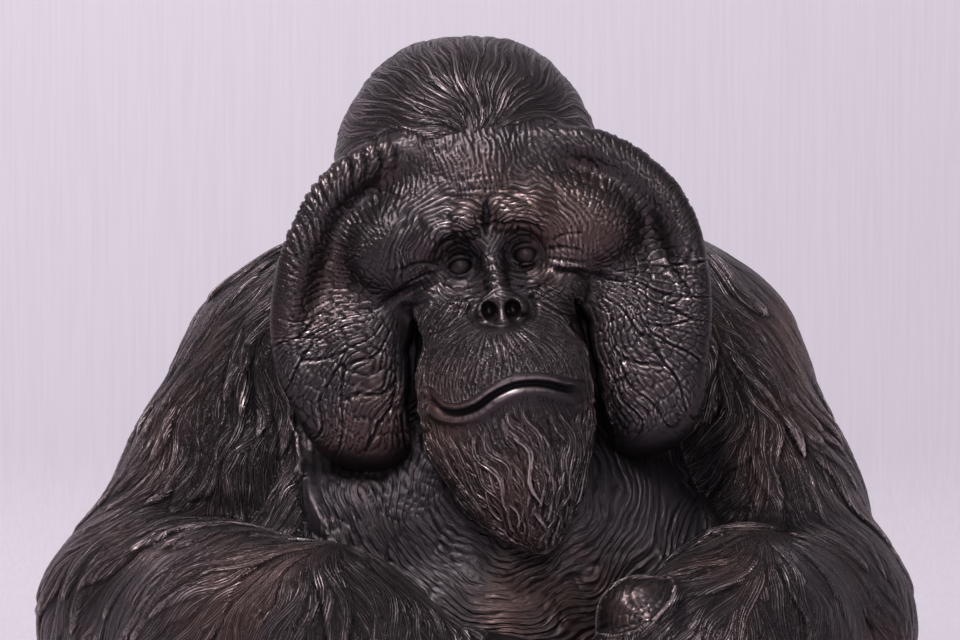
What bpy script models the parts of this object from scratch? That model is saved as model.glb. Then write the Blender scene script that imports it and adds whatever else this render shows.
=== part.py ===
"""Orangutan bust in cold-cast bronze, resting on its folded forearms.

The figure is cast in separate pieces that meet on flat parting faces or fitted seams, each
located by a steel dowel: a hollow torso, two arms, a face, two cheek flanges, a crown of hair,
a beard and two eyes. A screwed plate with a felt sheet closes the underside.
Metres, +Z up, the figure looks towards -Y, and the origin is the middle of the felt's underside.
"""

import math

import bmesh
import bpy
from mathutils import Matrix, Vector

MM = 0.001

# Clearances and walls
SEAM_GAP = 0.3 * MM
FITTED_GAP = 0.5 * MM
DOWEL_CLEARANCE = 0.3 * MM
TORSO_WALL = 7.0 * MM
FLOOR_CLEARANCE = 1.5 * MM
TOOL_REACH = 600 * MM

# Torso
RIB_CENTRE = Vector((4, 22, 92)) * MM
RIB_RADII = Vector((112, 84, 108)) * MM
HUMP_CENTRE = Vector((6, 40, 150)) * MM
HUMP_RADII = Vector((116, 62, 80)) * MM
BELLY_CENTRE = Vector((4, -22, 44)) * MM
BELLY_RADII = Vector((88, 64, 62)) * MM
POUCH_CENTRE = Vector((24, -40, 99)) * MM
POUCH_RADII = Vector((67, 35, 45)) * MM
NECK_CENTRE = Vector((6, 0, 196)) * MM
NECK_RADII = Vector((58, 50, 44)) * MM
LEFT_SHOULDER_CENTRE = Vector((-71, 30, 167)) * MM
RIGHT_SHOULDER_CENTRE = Vector((86, 30, 171)) * MM
SHOULDER_RADII = Vector((50, 49, 61)) * MM
LEFT_PEC_CENTRE = Vector((-52, -34, 85)) * MM
RIGHT_PEC_CENTRE = Vector((68, -32, 81)) * MM
PEC_RADII = Vector((49, 37, 43)) * MM

# Arms: points down the middle of each limb, with the limb's radius there
SHOULDER_RADIUS = 46 * MM
UPPER_ARM_RADIUS = 46 * MM
ELBOW_RADIUS = 51 * MM
FOREARM_RADIUS = 45 * MM
LEFT_MID_FOREARM_RADIUS = 41 * MM
RIGHT_MID_FOREARM_RADIUS = 33 * MM
LEFT_WRIST_RADIUS = 20 * MM
RIGHT_WRIST_RADIUS = 18 * MM
LEFT_ARM_SHOULDER = Vector((-90, 30, 168)) * MM
LEFT_UPPER_ARM = Vector((-118, 12, 114)) * MM
LEFT_ELBOW = Vector((-150, -14, 52)) * MM
LEFT_FOREARM = Vector((-112, -66, 46)) * MM
LEFT_MID_FOREARM = Vector((-66, -98, 44)) * MM
LEFT_WRIST = Vector((-8, -112, 31)) * MM
RIGHT_ARM_SHOULDER = Vector((104, 30, 172)) * MM
RIGHT_UPPER_ARM = Vector((129, 12, 114)) * MM
RIGHT_ELBOW = Vector((152, -14, 52)) * MM
RIGHT_FOREARM = Vector((126, -62, 46)) * MM
RIGHT_MID_FOREARM = Vector((97, -92, 34)) * MM
RIGHT_WRIST = Vector((54, -112, 20)) * MM

# Hands: the left one wraps the right wrist, and the right one lies flat in front
FINGERS = 4
FINGER_RADIUS = 6.2 * MM
LEFT_KNUCKLES = Vector((20, -121, 32)) * MM
LEFT_KNUCKLE_RADIUS = 12.5 * MM
CUFF_STEP = 2.5 * MM
GRIP_START = Vector((28, -118, 13)) * MM
GRIP_END = Vector((80, -104, 23)) * MM
GRIP_RADIUS = 19 * MM
GRIP_FIRST_ANGLE = math.radians(4)
GRIP_ANGLE = math.radians(33)
RIGHT_KNUCKLES = Vector((18, -124, 11)) * MM
RIGHT_KNUCKLE_RADIUS = 9.5 * MM
RIGHT_FINGER_LENGTH = 50 * MM
RIGHT_FINGER_PITCH = 12.8 * MM

# Head: its own axes are across, up and forward, rolled about the line of sight
HEAD_CENTRE = Vector((9.4, -55, 205.2)) * MM
HEAD_ROLL = math.radians(9)
SKULL_RADII = Vector((66, 70, 60)) * MM
SKULL_RISE = 24 * MM
SKULL_SETBACK = 38 * MM
CROWN_RADII = Vector((65, 64, 61)) * MM
CROWN_RISE = 51 * MM
CROWN_SETBACK = 47 * MM
FLANGE_HALF_WIDTH = 49 * MM
FLANGE_HALF_HEIGHT = 76 * MM
FLANGE_HALF_THICKNESS = 13 * MM
LEFT_FLANGE_CENTRE = (-54 * MM, 1 * MM)
RIGHT_FLANGE_CENTRE = (51 * MM, -9 * MM)
RIM_RADIUS = 11.5 * MM
BROW_HEIGHT = 26 * MM
BROW_FORWARD = 14 * MM
MUZZLE_RADII = Vector((39, 33, 42)) * MM
MUZZLE_DROP = 40 * MM
MUZZLE_FORWARD = 18 * MM
JAW_RADII = Vector((38, 34, 34)) * MM
JAW_DROP = 68 * MM
MOUTH_MIDDLE = 2 * MM
MOUTH_DROP = 45 * MM
MOUTH_HALF_WIDTH = 34 * MM
MOUTH_ARCH = 9 * MM
MOUTH_FORWARD = 58.5 * MM
MOUTH_SWEEP = 29 * MM
MOUTH_STEPS = 16
LIP_RADIUS = 3.6 * MM
BEARD_FORMS = (
    (Vector((-2, -74, 18)) * MM, 34 * MM),
    (Vector((0, -90, 24)) * MM, 25 * MM),
    (Vector((4, -111, 32)) * MM, 8 * MM),
)
EYE_RADIUS = 6.2 * MM
EYE_SPACING = 15.2 * MM
EYE_RISE = 10.4 * MM
EYE_FORWARD = 12.5 * MM
NOSE_DROP = 9 * MM
NOSE_FORWARD = 29 * MM
NOSTRIL_SPACING = 5.5 * MM
NOSTRIL_RADIUS = 2.6 * MM

# Parting faces of the head
FLANGE_SPLIT = 36 * MM
FLANGE_SPLIT_LEAN = math.radians(5)
FLANGE_SPLIT_HEADROOM = 9 * MM
FLANGE_SPLIT_FRONT = 28 * MM
FLANGE_SPLIT_BACK = -21 * MM
CROWN_SPLIT_HEIGHT = 69 * MM
CROWN_SPLIT_SLOPE = math.radians(30)
BEARD_SPLIT_DROP = 71 * MM
BEARD_SPLIT_SLOPE = math.radians(14)

# Underside
PLATE_WIDTH = 150 * MM
PLATE_DEPTH = 92 * MM
PLATE_THICKNESS = 5 * MM
PLATE_CORNER = 12 * MM
PLATE_CLEARANCE = 0.4 * MM
FELT_THICKNESS = 2.7 * MM
FELT_MARGIN = 3 * MM
RIM_HEIGHT = 1.2 * MM
SCREW_SPACING_X = PLATE_WIDTH - 22 * MM
SCREW_SPACING_Y = PLATE_DEPTH - 26 * MM
SCREW_RADIUS = 2.0 * MM
SCREW_HEAD_RADIUS = 4.0 * MM
SCREW_HEAD_HEIGHT = 2.4 * MM
SCREW_LENGTH = 18 * MM
BOSS_RADIUS = 8 * MM
BOSS_CAP = 4 * MM

# Dowels
NECK_ROD_RADIUS = 6 * MM
NECK_ROD_BEHIND = 22 * MM
NECK_ROD_AHEAD = 26 * MM
NECK_SEAM = Vector((6, -20, 234)) * MM
NECK_ROD_LEAN = math.radians(42)
ARM_ROD_RADIUS = 5 * MM
ARM_ROD_BEHIND = 16 * MM
ARM_ROD_AHEAD = 30 * MM
LEFT_ARM_SEAM = Vector((-105, 18, 118)) * MM
RIGHT_ARM_SEAM = Vector((112, 18, 118)) * MM
PIN_RADIUS = 2.5 * MM
PIN_REACH = 13 * MM
WRIST_PIN_AHEAD = 11 * MM
CROWN_PIN_SPACING = 56 * MM
CROWN_PIN_SETBACK = 30 * MM
FLANGE_PIN_SETBACK = 2 * MM
BEARD_PIN_FORWARD = 41 * MM

# How finely each cast piece is meshed
BODY_VOXEL = 3.0 * MM
HEAD_VOXEL = 2.0 * MM
HAND_VOXEL = 1.5 * MM
TORSO_FACES = 2200
CAVITY_FACES = 700
ARM_FACES = 1500
HAND_FACES = 1300
HEAD_FACES = 5200

BRONZE = ((0.10, 0.075, 0.065, 1), 0.42, 0.85)
STEEL = ((0.45, 0.45, 0.46, 1), 0.35, 1.0)
PLATE_COLOUR = ((0.03, 0.028, 0.027, 1), 0.6, 0.0)
FELT_COLOUR = ((0.02, 0.02, 0.02, 1), 0.95, 0.0)


def clear_scene():
    for obj in list(bpy.data.objects):
        bpy.data.objects.remove(obj)


def material(name, look):
    colour, roughness, metallic = look
    made = bpy.data.materials.get(name) or bpy.data.materials.new(name)
    made.use_nodes = True
    shader = made.node_tree.nodes["Principled BSDF"]
    shader.inputs["Base Color"].default_value = colour
    shader.inputs["Roughness"].default_value = roughness
    shader.inputs["Metallic"].default_value = metallic
    return made


def object_from(name, bm):
    mesh = bpy.data.meshes.new(name)
    bm.to_mesh(mesh)
    bm.free()
    obj = bpy.data.objects.new(name, mesh)
    bpy.context.scene.collection.objects.link(obj)
    return obj


def hide(obj):
    obj.hide_render = True
    obj.display_type = "WIRE"
    return obj


def settled(obj):
    """Turns what the modifiers make into the object's own mesh."""
    bpy.context.view_layer.update()
    graph = bpy.context.evaluated_depsgraph_get()
    mesh = bpy.data.meshes.new_from_object(obj.evaluated_get(graph))
    obj.modifiers.clear()
    obj.data = mesh
    return obj


def add_ball(bm, centre, radii, segments=24):
    """An ellipsoid; radii is one number or three."""
    if not hasattr(radii, "__len__"):
        radii = (radii, radii, radii)
    place = Matrix.Translation(centre) @ Matrix.Diagonal((*radii, 1))
    bmesh.ops.create_uvsphere(
        bm, u_segments=segments, v_segments=segments // 2, radius=1, matrix=place
    )


def add_limb(bm, stations, steps=7):
    """A run of overlapping balls through (centre, radius) stations."""
    for (a, ra), (b, rb) in zip(stations, stations[1:]):
        for step in range(steps):
            share = step / steps
            add_ball(bm, a.lerp(b, share), ra + (rb - ra) * share, 16)
    add_ball(bm, *stations[-1], 16)


def blended(name, bm, voxel, smoothing, faces):
    """Fuses the forms in bm into one smooth skin with about that many triangles."""
    obj = object_from(name, bm)
    remesh = obj.modifiers.new("fuse", "REMESH")
    remesh.mode = "VOXEL"
    remesh.voxel_size = voxel
    smooth = obj.modifiers.new("soften", "SMOOTH")
    smooth.factor = 0.6
    smooth.iterations = smoothing
    settled(obj)
    triangles = sum(len(p.vertices) - 2 for p in obj.data.polygons)
    thin = obj.modifiers.new("thin", "DECIMATE")
    thin.ratio = faces / triangles
    return hide(settled(obj))


def copy_of(obj, name):
    twin = obj.copy()
    twin.data = obj.data.copy()
    twin.name = name
    bpy.context.scene.collection.objects.link(twin)
    twin.hide_render = False
    twin.display_type = "TEXTURED"
    return twin


def swollen(obj, amount):
    """A hidden copy whose skin stands that far out, to cut a fitted seam with."""
    twin = hide(copy_of(obj, obj.name + "_swollen"))
    displace = twin.modifiers.new("swell", "DISPLACE")
    displace.strength = amount
    displace.mid_level = 0
    return settled(twin)


def join_or_cut(obj, tool, operation):
    boolean = obj.modifiers.new(operation.lower(), "BOOLEAN")
    boolean.operation = operation
    boolean.object = tool
    boolean.solver = "EXACT"
    settled(obj)


def cut(obj, *tools):
    for tool in tools:
        join_or_cut(obj, tool, "DIFFERENCE")


def keep_within(obj, tool):
    join_or_cut(obj, tool, "INTERSECT")


def box_tool(name, low, high, place=None):
    """A hidden box between two corners, then moved by place."""
    bm = bmesh.new()
    bmesh.ops.create_cube(bm, size=1)
    middle = (Vector(low) + Vector(high)) / 2
    size = Vector(high) - Vector(low)
    bmesh.ops.transform(
        bm, matrix=Matrix.Translation(middle) @ Matrix.Diagonal((*size, 1)), verts=bm.verts
    )
    if place is not None:
        bmesh.ops.transform(bm, matrix=place, verts=bm.verts)
    return hide(object_from(name, bm))


def rod(name, start, end, radius, sides=24):
    bm = bmesh.new()
    run = end - start
    turn = run.to_track_quat("Z", "Y").to_matrix().to_4x4()
    bmesh.ops.create_cone(
        bm,
        cap_ends=True,
        segments=sides,
        radius1=radius,
        radius2=radius,
        depth=run.length,
        matrix=Matrix.Translation((start + end) / 2) @ turn,
    )
    return object_from(name, bm)


def dowel(name, seam, direction, behind, ahead, radius, *pieces):
    """A steel dowel through a seam, and its drilled hole in every piece that it locates."""
    along = direction.normalized()
    start = seam - along * behind
    end = seam + along * ahead
    made = rod(name, start, end, radius)
    spare = along * DOWEL_CLEARANCE
    drill = hide(rod(name + "_drill", start - spare, end + spare, radius + DOWEL_CLEARANCE))
    for piece in pieces:
        cut(piece, drill)
    finish(made, "steel", STEEL)
    return made


def finish(obj, slot, look, smooth=False):
    obj.data.materials.clear()
    obj.data.materials.append(material(slot, look))
    if smooth:
        obj.data.shade_smooth()
    else:
        obj.data.set_sharp_from_angle(angle=math.radians(35))


# Forms of the body


def torso_forms(wall=0.0):
    """The chest, back and throat pouch, taken in by wall to make the hollow."""
    bm = bmesh.new()
    take_in = Vector((wall, wall, wall))
    for centre, radii in (
        (RIB_CENTRE, RIB_RADII),
        (HUMP_CENTRE, HUMP_RADII),
        (BELLY_CENTRE, BELLY_RADII),
        (POUCH_CENTRE, POUCH_RADII),
        (NECK_CENTRE, NECK_RADII),
        (LEFT_SHOULDER_CENTRE, SHOULDER_RADII),
        (RIGHT_SHOULDER_CENTRE, SHOULDER_RADII),
        (LEFT_PEC_CENTRE, PEC_RADII),
        (RIGHT_PEC_CENTRE, PEC_RADII),
    ):
        add_ball(bm, centre, radii - take_in, 40)
    return bm


def left_arm_forms():
    bm = bmesh.new()
    add_limb(
        bm,
        [
            (LEFT_ARM_SHOULDER, SHOULDER_RADIUS),
            (LEFT_UPPER_ARM, UPPER_ARM_RADIUS),
            (LEFT_ELBOW, ELBOW_RADIUS),
            (LEFT_FOREARM, FOREARM_RADIUS),
            (LEFT_MID_FOREARM, LEFT_MID_FOREARM_RADIUS),
            (LEFT_WRIST, LEFT_WRIST_RADIUS),
        ],
        9,
    )
    return bm


def right_arm_forms():
    bm = bmesh.new()
    add_limb(
        bm,
        [
            (RIGHT_ARM_SHOULDER, SHOULDER_RADIUS),
            (RIGHT_UPPER_ARM, UPPER_ARM_RADIUS),
            (RIGHT_ELBOW, ELBOW_RADIUS),
            (RIGHT_FOREARM, FOREARM_RADIUS),
            (RIGHT_MID_FOREARM, RIGHT_MID_FOREARM_RADIUS),
            (RIGHT_WRIST, RIGHT_WRIST_RADIUS),
        ],
        9,
    )
    return bm


def left_hand_forms():
    """The back of the hand, and fingers laid side by side around the other wrist."""
    bm = bmesh.new()
    wrist = (LEFT_WRIST, LEFT_WRIST_RADIUS - CUFF_STEP)
    add_limb(bm, [wrist, (LEFT_KNUCKLES, LEFT_KNUCKLE_RADIUS)])
    for index in range(FINGERS):
        angle = GRIP_FIRST_ANGLE + GRIP_ANGLE * index
        around = Vector((0, -math.sin(angle), math.cos(angle)))
        stations = []
        for share, lift in ((0.0, 0.0), (0.45, 2 * MM), (0.8, 1 * MM), (1.0, -2 * MM)):
            middle = GRIP_START.lerp(GRIP_END, share - 0.06 * abs(index - 1))
            stations.append((middle + around * (GRIP_RADIUS + lift), FINGER_RADIUS))
        add_limb(bm, [(LEFT_KNUCKLES, FINGER_RADIUS), *stations])
    thumb_root = LEFT_WRIST.lerp(LEFT_KNUCKLES, 0.5) + Vector((0, 8, 10)) * MM
    thumb_tip = LEFT_KNUCKLES + Vector((30, 20, 2)) * MM
    add_limb(bm, [(thumb_root, FINGER_RADIUS * 1.3), (thumb_tip, FINGER_RADIUS)])
    return bm


def right_hand_forms():
    """The back of the hand under the left one, and fingers flat on the table."""
    bm = bmesh.new()
    wrist = (RIGHT_WRIST, RIGHT_WRIST_RADIUS - CUFF_STEP)
    add_limb(bm, [wrist, (RIGHT_KNUCKLES, RIGHT_KNUCKLE_RADIUS)])
    for index in range(FINGERS):
        row = (FINGERS - 1) / 2 - index
        root = RIGHT_KNUCKLES + Vector((-2 * MM, row * RIGHT_FINGER_PITCH, -1 * MM))
        middle = root + Vector((-0.5, -0.12, 0.04)) * RIGHT_FINGER_LENGTH
        tip = root + Vector((-1.0, -0.2, -0.05)) * (RIGHT_FINGER_LENGTH - 3 * MM * abs(row - 0.5))
        add_limb(
            bm,
            [
                (RIGHT_KNUCKLES, FINGER_RADIUS),
                (root, FINGER_RADIUS * 1.1),
                (middle, FINGER_RADIUS),
                (tip, FINGER_RADIUS * 0.9),
            ],
        )
    return bm


# Forms of the head, in its own axes: across, up, forward

HEAD_PLACE = Matrix.Translation(HEAD_CENTRE) @ Matrix.Rotation(-HEAD_ROLL, 4, "Y")


def head_point(across, up, forward):
    return HEAD_PLACE @ Vector((across, -forward, up))


def add_head_ball(bm, middle, radii, segments=24):
    """An ellipsoid in the head's axes: (across, up, forward)."""
    across, up, forward = middle
    turn = Matrix.Rotation(-HEAD_ROLL, 4, "Y")
    size = Matrix.Diagonal((radii[0], radii[2], radii[1], 1))
    place = Matrix.Translation(head_point(across, up, forward)) @ turn @ size
    bmesh.ops.create_uvsphere(
        bm, u_segments=segments, v_segments=segments // 2, radius=1, matrix=place
    )


def add_flange(bm, side):
    """A cheek flange: a dished disc with a thick rolled rim, a temple mound and a low lobe."""
    middle_across, middle_up = LEFT_FLANGE_CENTRE if side < 0 else RIGHT_FLANGE_CENTRE
    disc = (FLANGE_HALF_WIDTH, FLANGE_HALF_HEIGHT, FLANGE_HALF_THICKNESS)
    add_head_ball(bm, (middle_across, middle_up, -4 * MM), disc, 36)
    rim = (RIM_RADIUS,) * 3
    rim_across = FLANGE_HALF_WIDTH - RIM_RADIUS
    rim_up = FLANGE_HALF_HEIGHT - RIM_RADIUS
    turns = 30
    for step in range(turns + 1):
        angle = math.radians(-112 + 238 * step / turns)
        across = middle_across + side * rim_across * math.cos(angle)
        up = middle_up + rim_up * math.sin(angle)
        add_head_ball(bm, (across, up, 2 * MM), rim, 14)
    mound = (27 * MM, 28 * MM, 19 * MM)
    add_head_ball(bm, (side * 42 * MM, BROW_HEIGHT + 4 * MM, 5 * MM), mound)
    lobe = (31 * MM, 35 * MM, 18 * MM)
    add_head_ball(bm, (middle_across + side * 4 * MM, middle_up - 38 * MM, 1 * MM), lobe)


def mouth_line():
    """The frown, from corner to corner."""
    points = []
    for step in range(MOUTH_STEPS + 1):
        share = 2 * step / MOUTH_STEPS - 1
        across = MOUTH_MIDDLE + share * MOUTH_HALF_WIDTH
        up = -MOUTH_DROP - MOUTH_ARCH * share * share
        points.append((across, up, MOUTH_FORWARD - MOUTH_SWEEP * share * share))
    return points


def head_forms():
    bm = bmesh.new()
    add_head_ball(bm, (0, SKULL_RISE, -SKULL_SETBACK), SKULL_RADII, 36)
    add_head_ball(bm, (-2 * MM, CROWN_RISE, -CROWN_SETBACK), CROWN_RADII, 36)
    forehead = Vector((44, 42, 33)) * MM
    add_head_ball(bm, (0, 36 * MM, -10 * MM), forehead)
    for side in (-1, 1):
        add_flange(bm, side)
        brow = (side * 15 * MM, BROW_HEIGHT, BROW_FORWARD)
        add_head_ball(bm, brow, Vector((17, 9, 14)) * MM)
        cheekbone = (side * 23 * MM, -9 * MM, 9 * MM)
        add_head_ball(bm, cheekbone, Vector((14, 17, 16)) * MM)
        wing = (side * 7.5 * MM, -NOSE_DROP - 2 * MM, NOSE_FORWARD - 1 * MM)
        add_head_ball(bm, wing, Vector((5.5, 5, 5.5)) * MM)
    for step in range(9):
        share = step / 8
        bridge = (0, (22 - 28 * share) * MM, (19 + 11 * share) * MM)
        add_head_ball(bm, bridge, (Vector((4.2, 4.2, 4.6)) + Vector((2, 2, 2)) * share) * MM, 12)
    add_head_ball(bm, (0, -MUZZLE_DROP, MUZZLE_FORWARD), MUZZLE_RADII, 32)
    add_head_ball(bm, (-2 * MM, -JAW_DROP, 16 * MM), JAW_RADII, 32)
    for across, up, forward in mouth_line():
        add_head_ball(bm, (across, up + LIP_RADIUS, forward), (LIP_RADIUS,) * 3, 12)
        add_head_ball(bm, (across, up - LIP_RADIUS, forward - 2 * MM), (LIP_RADIUS,) * 3, 12)
    for start, end in zip(BEARD_FORMS, BEARD_FORMS[1:]):
        add_limb(bm, [(head_point(*start[0]), start[1]), (head_point(*end[0]), end[1])])
    return bm


def flange_block(side, spare):
    """The block of space that holds one flange, grown by spare."""
    middle_up = (LEFT_FLANGE_CENTRE if side < 0 else RIGHT_FLANGE_CENTRE)[1]
    reach = FLANGE_HALF_HEIGHT + FLANGE_SPLIT_HEADROOM + spare
    low = (FLANGE_SPLIT - spare, -FLANGE_SPLIT_FRONT - spare, middle_up - TOOL_REACH)
    high = (TOOL_REACH, -FLANGE_SPLIT_BACK + spare, middle_up + reach)
    if side < 0:
        low, high = (-high[0], low[1], low[2]), (-low[0], high[1], high[2])
    lean = Matrix.Rotation(side * FLANGE_SPLIT_LEAN, 4, "Y")
    return box_tool(f"flange_block_{side}_{spare > 0}", low, high, HEAD_PLACE @ lean)


def crown_block(spare):
    """All that lies above and behind the parting face of the crown."""
    face = Matrix.Translation((0, 0, CROWN_SPLIT_HEIGHT))
    lean = Matrix.Rotation(-CROWN_SPLIT_SLOPE, 4, "X")
    low = (-TOOL_REACH, -TOOL_REACH, -spare)
    high = (TOOL_REACH, TOOL_REACH, TOOL_REACH)
    return box_tool(f"crown_block_{spare > 0}", low, high, HEAD_PLACE @ face @ lean)


def beard_block(spare):
    """All that lies below the parting face of the beard."""
    face = Matrix.Translation((0, 0, -BEARD_SPLIT_DROP))
    lean = Matrix.Rotation(-BEARD_SPLIT_SLOPE, 4, "X")
    low = (-TOOL_REACH, -TOOL_REACH, -TOOL_REACH)
    high = (TOOL_REACH, TOOL_REACH, spare)
    return box_tool(f"beard_block_{spare > 0}", low, high, HEAD_PLACE @ face @ lean)


# The underside


def plate_outline(bm, width, depth, corner, low, high):
    """A slab with rounded corners between two heights."""
    points = []
    for cx, cy, start in ((1, 1, 0), (-1, 1, 90), (-1, -1, 180), (1, -1, 270)):
        for step in range(7):
            angle = math.radians(start + 15 * step)
            x = cx * (width / 2 - corner) + corner * math.cos(angle)
            y = cy * (depth / 2 - corner) + corner * math.sin(angle)
            points.append(bm.verts.new((x, y, low)))
    face = bm.faces.new(points)
    risen = bmesh.ops.extrude_face_region(bm, geom=[face])
    moved = [v for v in risen["geom"] if isinstance(v, bmesh.types.BMVert)]
    bmesh.ops.translate(bm, verts=moved, vec=(0, 0, high - low))
    bmesh.ops.recalc_face_normals(bm, faces=bm.faces)


def slab(name, width, depth, corner, low, high):
    bm = bmesh.new()
    plate_outline(bm, width, depth, corner, low, high)
    return object_from(name, bm)


def screw_places():
    return [
        Vector((x * SCREW_SPACING_X / 2, y * SCREW_SPACING_Y / 2, 0))
        for x in (-1, 1)
        for y in (-1, 1)
    ]


def screw(name, place, spare=0.0):
    """A countersunk screw, head down, grown by spare to drill its hole."""
    bottom = FELT_THICKNESS + SEAM_GAP
    profile = [
        (0, bottom - spare),
        (SCREW_HEAD_RADIUS + spare, bottom - spare),
        (SCREW_RADIUS + spare, bottom + SCREW_HEAD_HEIGHT + spare),
        (SCREW_RADIUS + spare, bottom + SCREW_LENGTH - SCREW_RADIUS),
        (0, bottom + SCREW_LENGTH + spare),
    ]
    bm = bmesh.new()
    ring = [bm.verts.new((r, 0, z)) for r, z in profile]
    edges = [bm.edges.new(pair) for pair in zip(ring, ring[1:])]
    bmesh.ops.spin(
        bm, geom=ring + edges, cent=(0, 0, 0), axis=(0, 0, 1), angle=2 * math.pi, steps=20
    )
    bmesh.ops.remove_doubles(bm, verts=bm.verts, dist=0.01 * MM)
    bmesh.ops.recalc_face_normals(bm, faces=bm.faces)
    bmesh.ops.translate(bm, verts=bm.verts, vec=place)
    return object_from(name, bm)


def make_torso():
    torso = blended("torso_shell", torso_forms(), BODY_VOXEL, 14, TORSO_FACES)
    hollow = blended("torso_hollow", torso_forms(TORSO_WALL), BODY_VOXEL, 8, CAVITY_FACES)
    plate_bottom = FELT_THICKNESS + SEAM_GAP
    plate_top = plate_bottom + PLATE_THICKNESS
    for index, place in enumerate(screw_places()):
        base = place + Vector((0, 0, -TOOL_REACH))
        top = place + Vector((0, 0, plate_top + SCREW_LENGTH + BOSS_CAP))
        cut(hollow, hide(rod(f"boss_{index}", base, top, BOSS_RADIUS)))
    skin = copy_of(torso, "torso_skin")
    hide(skin)
    torso.hide_render = False
    torso.display_type = "TEXTURED"
    below = box_tool(
        "below_rim", (-TOOL_REACH, -TOOL_REACH, -TOOL_REACH), (TOOL_REACH, TOOL_REACH, RIM_HEIGHT)
    )
    cut(torso, hollow)
    cut(torso, below)
    seat = slab(
        "plate_seat",
        PLATE_WIDTH + 2 * PLATE_CLEARANCE,
        PLATE_DEPTH + 2 * PLATE_CLEARANCE,
        PLATE_CORNER + PLATE_CLEARANCE,
        -TOOL_REACH,
        plate_top + SEAM_GAP,
    )
    cut(torso, hide(seat))
    return torso, skin


def make_underside(torso):
    plate_bottom = FELT_THICKNESS + SEAM_GAP
    plate = slab(
        "base_plate",
        PLATE_WIDTH,
        PLATE_DEPTH,
        PLATE_CORNER,
        plate_bottom,
        plate_bottom + PLATE_THICKNESS,
    )
    felt = slab(
        "felt_sheet",
        PLATE_WIDTH - 2 * FELT_MARGIN,
        PLATE_DEPTH - 2 * FELT_MARGIN,
        PLATE_CORNER - FELT_MARGIN,
        0,
        FELT_THICKNESS,
    )
    for index, place in enumerate(screw_places()):
        name = f"plate_screw_{index + 1}"
        made = screw(name, place)
        drill = hide(screw(name + "_drill", place, DOWEL_CLEARANCE))
        cut(plate, drill)
        cut(torso, drill)
        finish(made, "steel", STEEL, smooth=False)
    finish(plate, "plate", PLATE_COLOUR)
    finish(felt, "felt", FELT_COLOUR)


def make_arms(skin):
    seam = swollen(skin, FITTED_GAP)
    left = blended("left_arm", left_arm_forms(), BODY_VOXEL * 0.8, 5, ARM_FACES)
    right = blended("right_arm", right_arm_forms(), BODY_VOXEL * 0.8, 5, ARM_FACES)
    left_hand = blended("left_hand", left_hand_forms(), HAND_VOXEL, 2, HAND_FACES)
    right_hand = blended("right_hand", right_hand_forms(), HAND_VOXEL, 2, HAND_FACES)
    left_seam = swollen(left, SEAM_GAP)
    right_seam = swollen(right, SEAM_GAP)
    left_hand_seam = swollen(left_hand, SEAM_GAP)
    below = box_tool(
        "below_arms",
        (-TOOL_REACH, -TOOL_REACH, -TOOL_REACH),
        (TOOL_REACH, TOOL_REACH, FLOOR_CLEARANCE),
    )
    for arm in (left, right, left_hand, right_hand):
        arm.hide_render = False
        arm.display_type = "TEXTURED"
        cut(arm, seam, below)
    cut(right, left_seam)
    cut(left_hand, left_seam, right_seam)
    cut(right_hand, left_seam, right_seam, left_hand_seam)
    return left, right, left_hand, right_hand, seam


def make_head(seam):
    master = blended("head_master", head_forms(), HEAD_VOXEL, 4, HEAD_FACES)
    blocks = {side: flange_block(side, 0.0) for side in (-1, 1)}
    grown = {side: flange_block(side, SEAM_GAP) for side in (-1, 1)}
    crown_space, crown_grown = crown_block(0.0), crown_block(SEAM_GAP)
    beard_space, beard_grown = beard_block(0.0), beard_block(SEAM_GAP)
    flanges = []
    for side, name in ((-1, "left_cheek_flange"), (1, "right_cheek_flange")):
        flange = copy_of(master, name)
        keep_within(flange, blocks[side])
        cut(flange, seam)
        flanges.append(flange)
    crown = copy_of(master, "crown_hair")
    keep_within(crown, crown_space)
    cut(crown, grown[-1], grown[1], seam)
    beard = copy_of(master, "beard")
    keep_within(beard, beard_space)
    cut(beard, grown[-1], grown[1], seam)
    face = copy_of(master, "face")
    cut(face, grown[-1], grown[1], crown_grown, beard_grown, seam)
    for side, name in ((-1, "left_eye"), (1, "right_eye")):
        middle = (side * EYE_SPACING, EYE_RISE, EYE_FORWARD)
        bm = bmesh.new()
        add_head_ball(bm, (side * EYE_SPACING, EYE_RISE, EYE_FORWARD + 11 * MM),
                      Vector((10.5, 8, 11)) * MM)
        cut(face, hide(object_from(name + "_hollow", bm)))
        bm = bmesh.new()
        add_head_ball(bm, middle, (EYE_RADIUS + SEAM_GAP,) * 3)
        cut(face, hide(object_from(name + "_socket", bm)))
        bm = bmesh.new()
        add_head_ball(bm, middle, (EYE_RADIUS,) * 3, 16)
        eye = object_from(name, bm)
        finish(eye, "bronze", BRONZE, smooth=True)
        low = head_point(side * NOSTRIL_SPACING, -NOSE_DROP - 1 * MM, NOSE_FORWARD + 8 * MM)
        deep = head_point(side * NOSTRIL_SPACING, -NOSE_DROP + 2 * MM, NOSE_FORWARD - 4 * MM)
        cut(face, hide(rod(name + "_nostril", low, deep, NOSTRIL_RADIUS, 12)))
    return face, crown, beard, flanges


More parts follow.
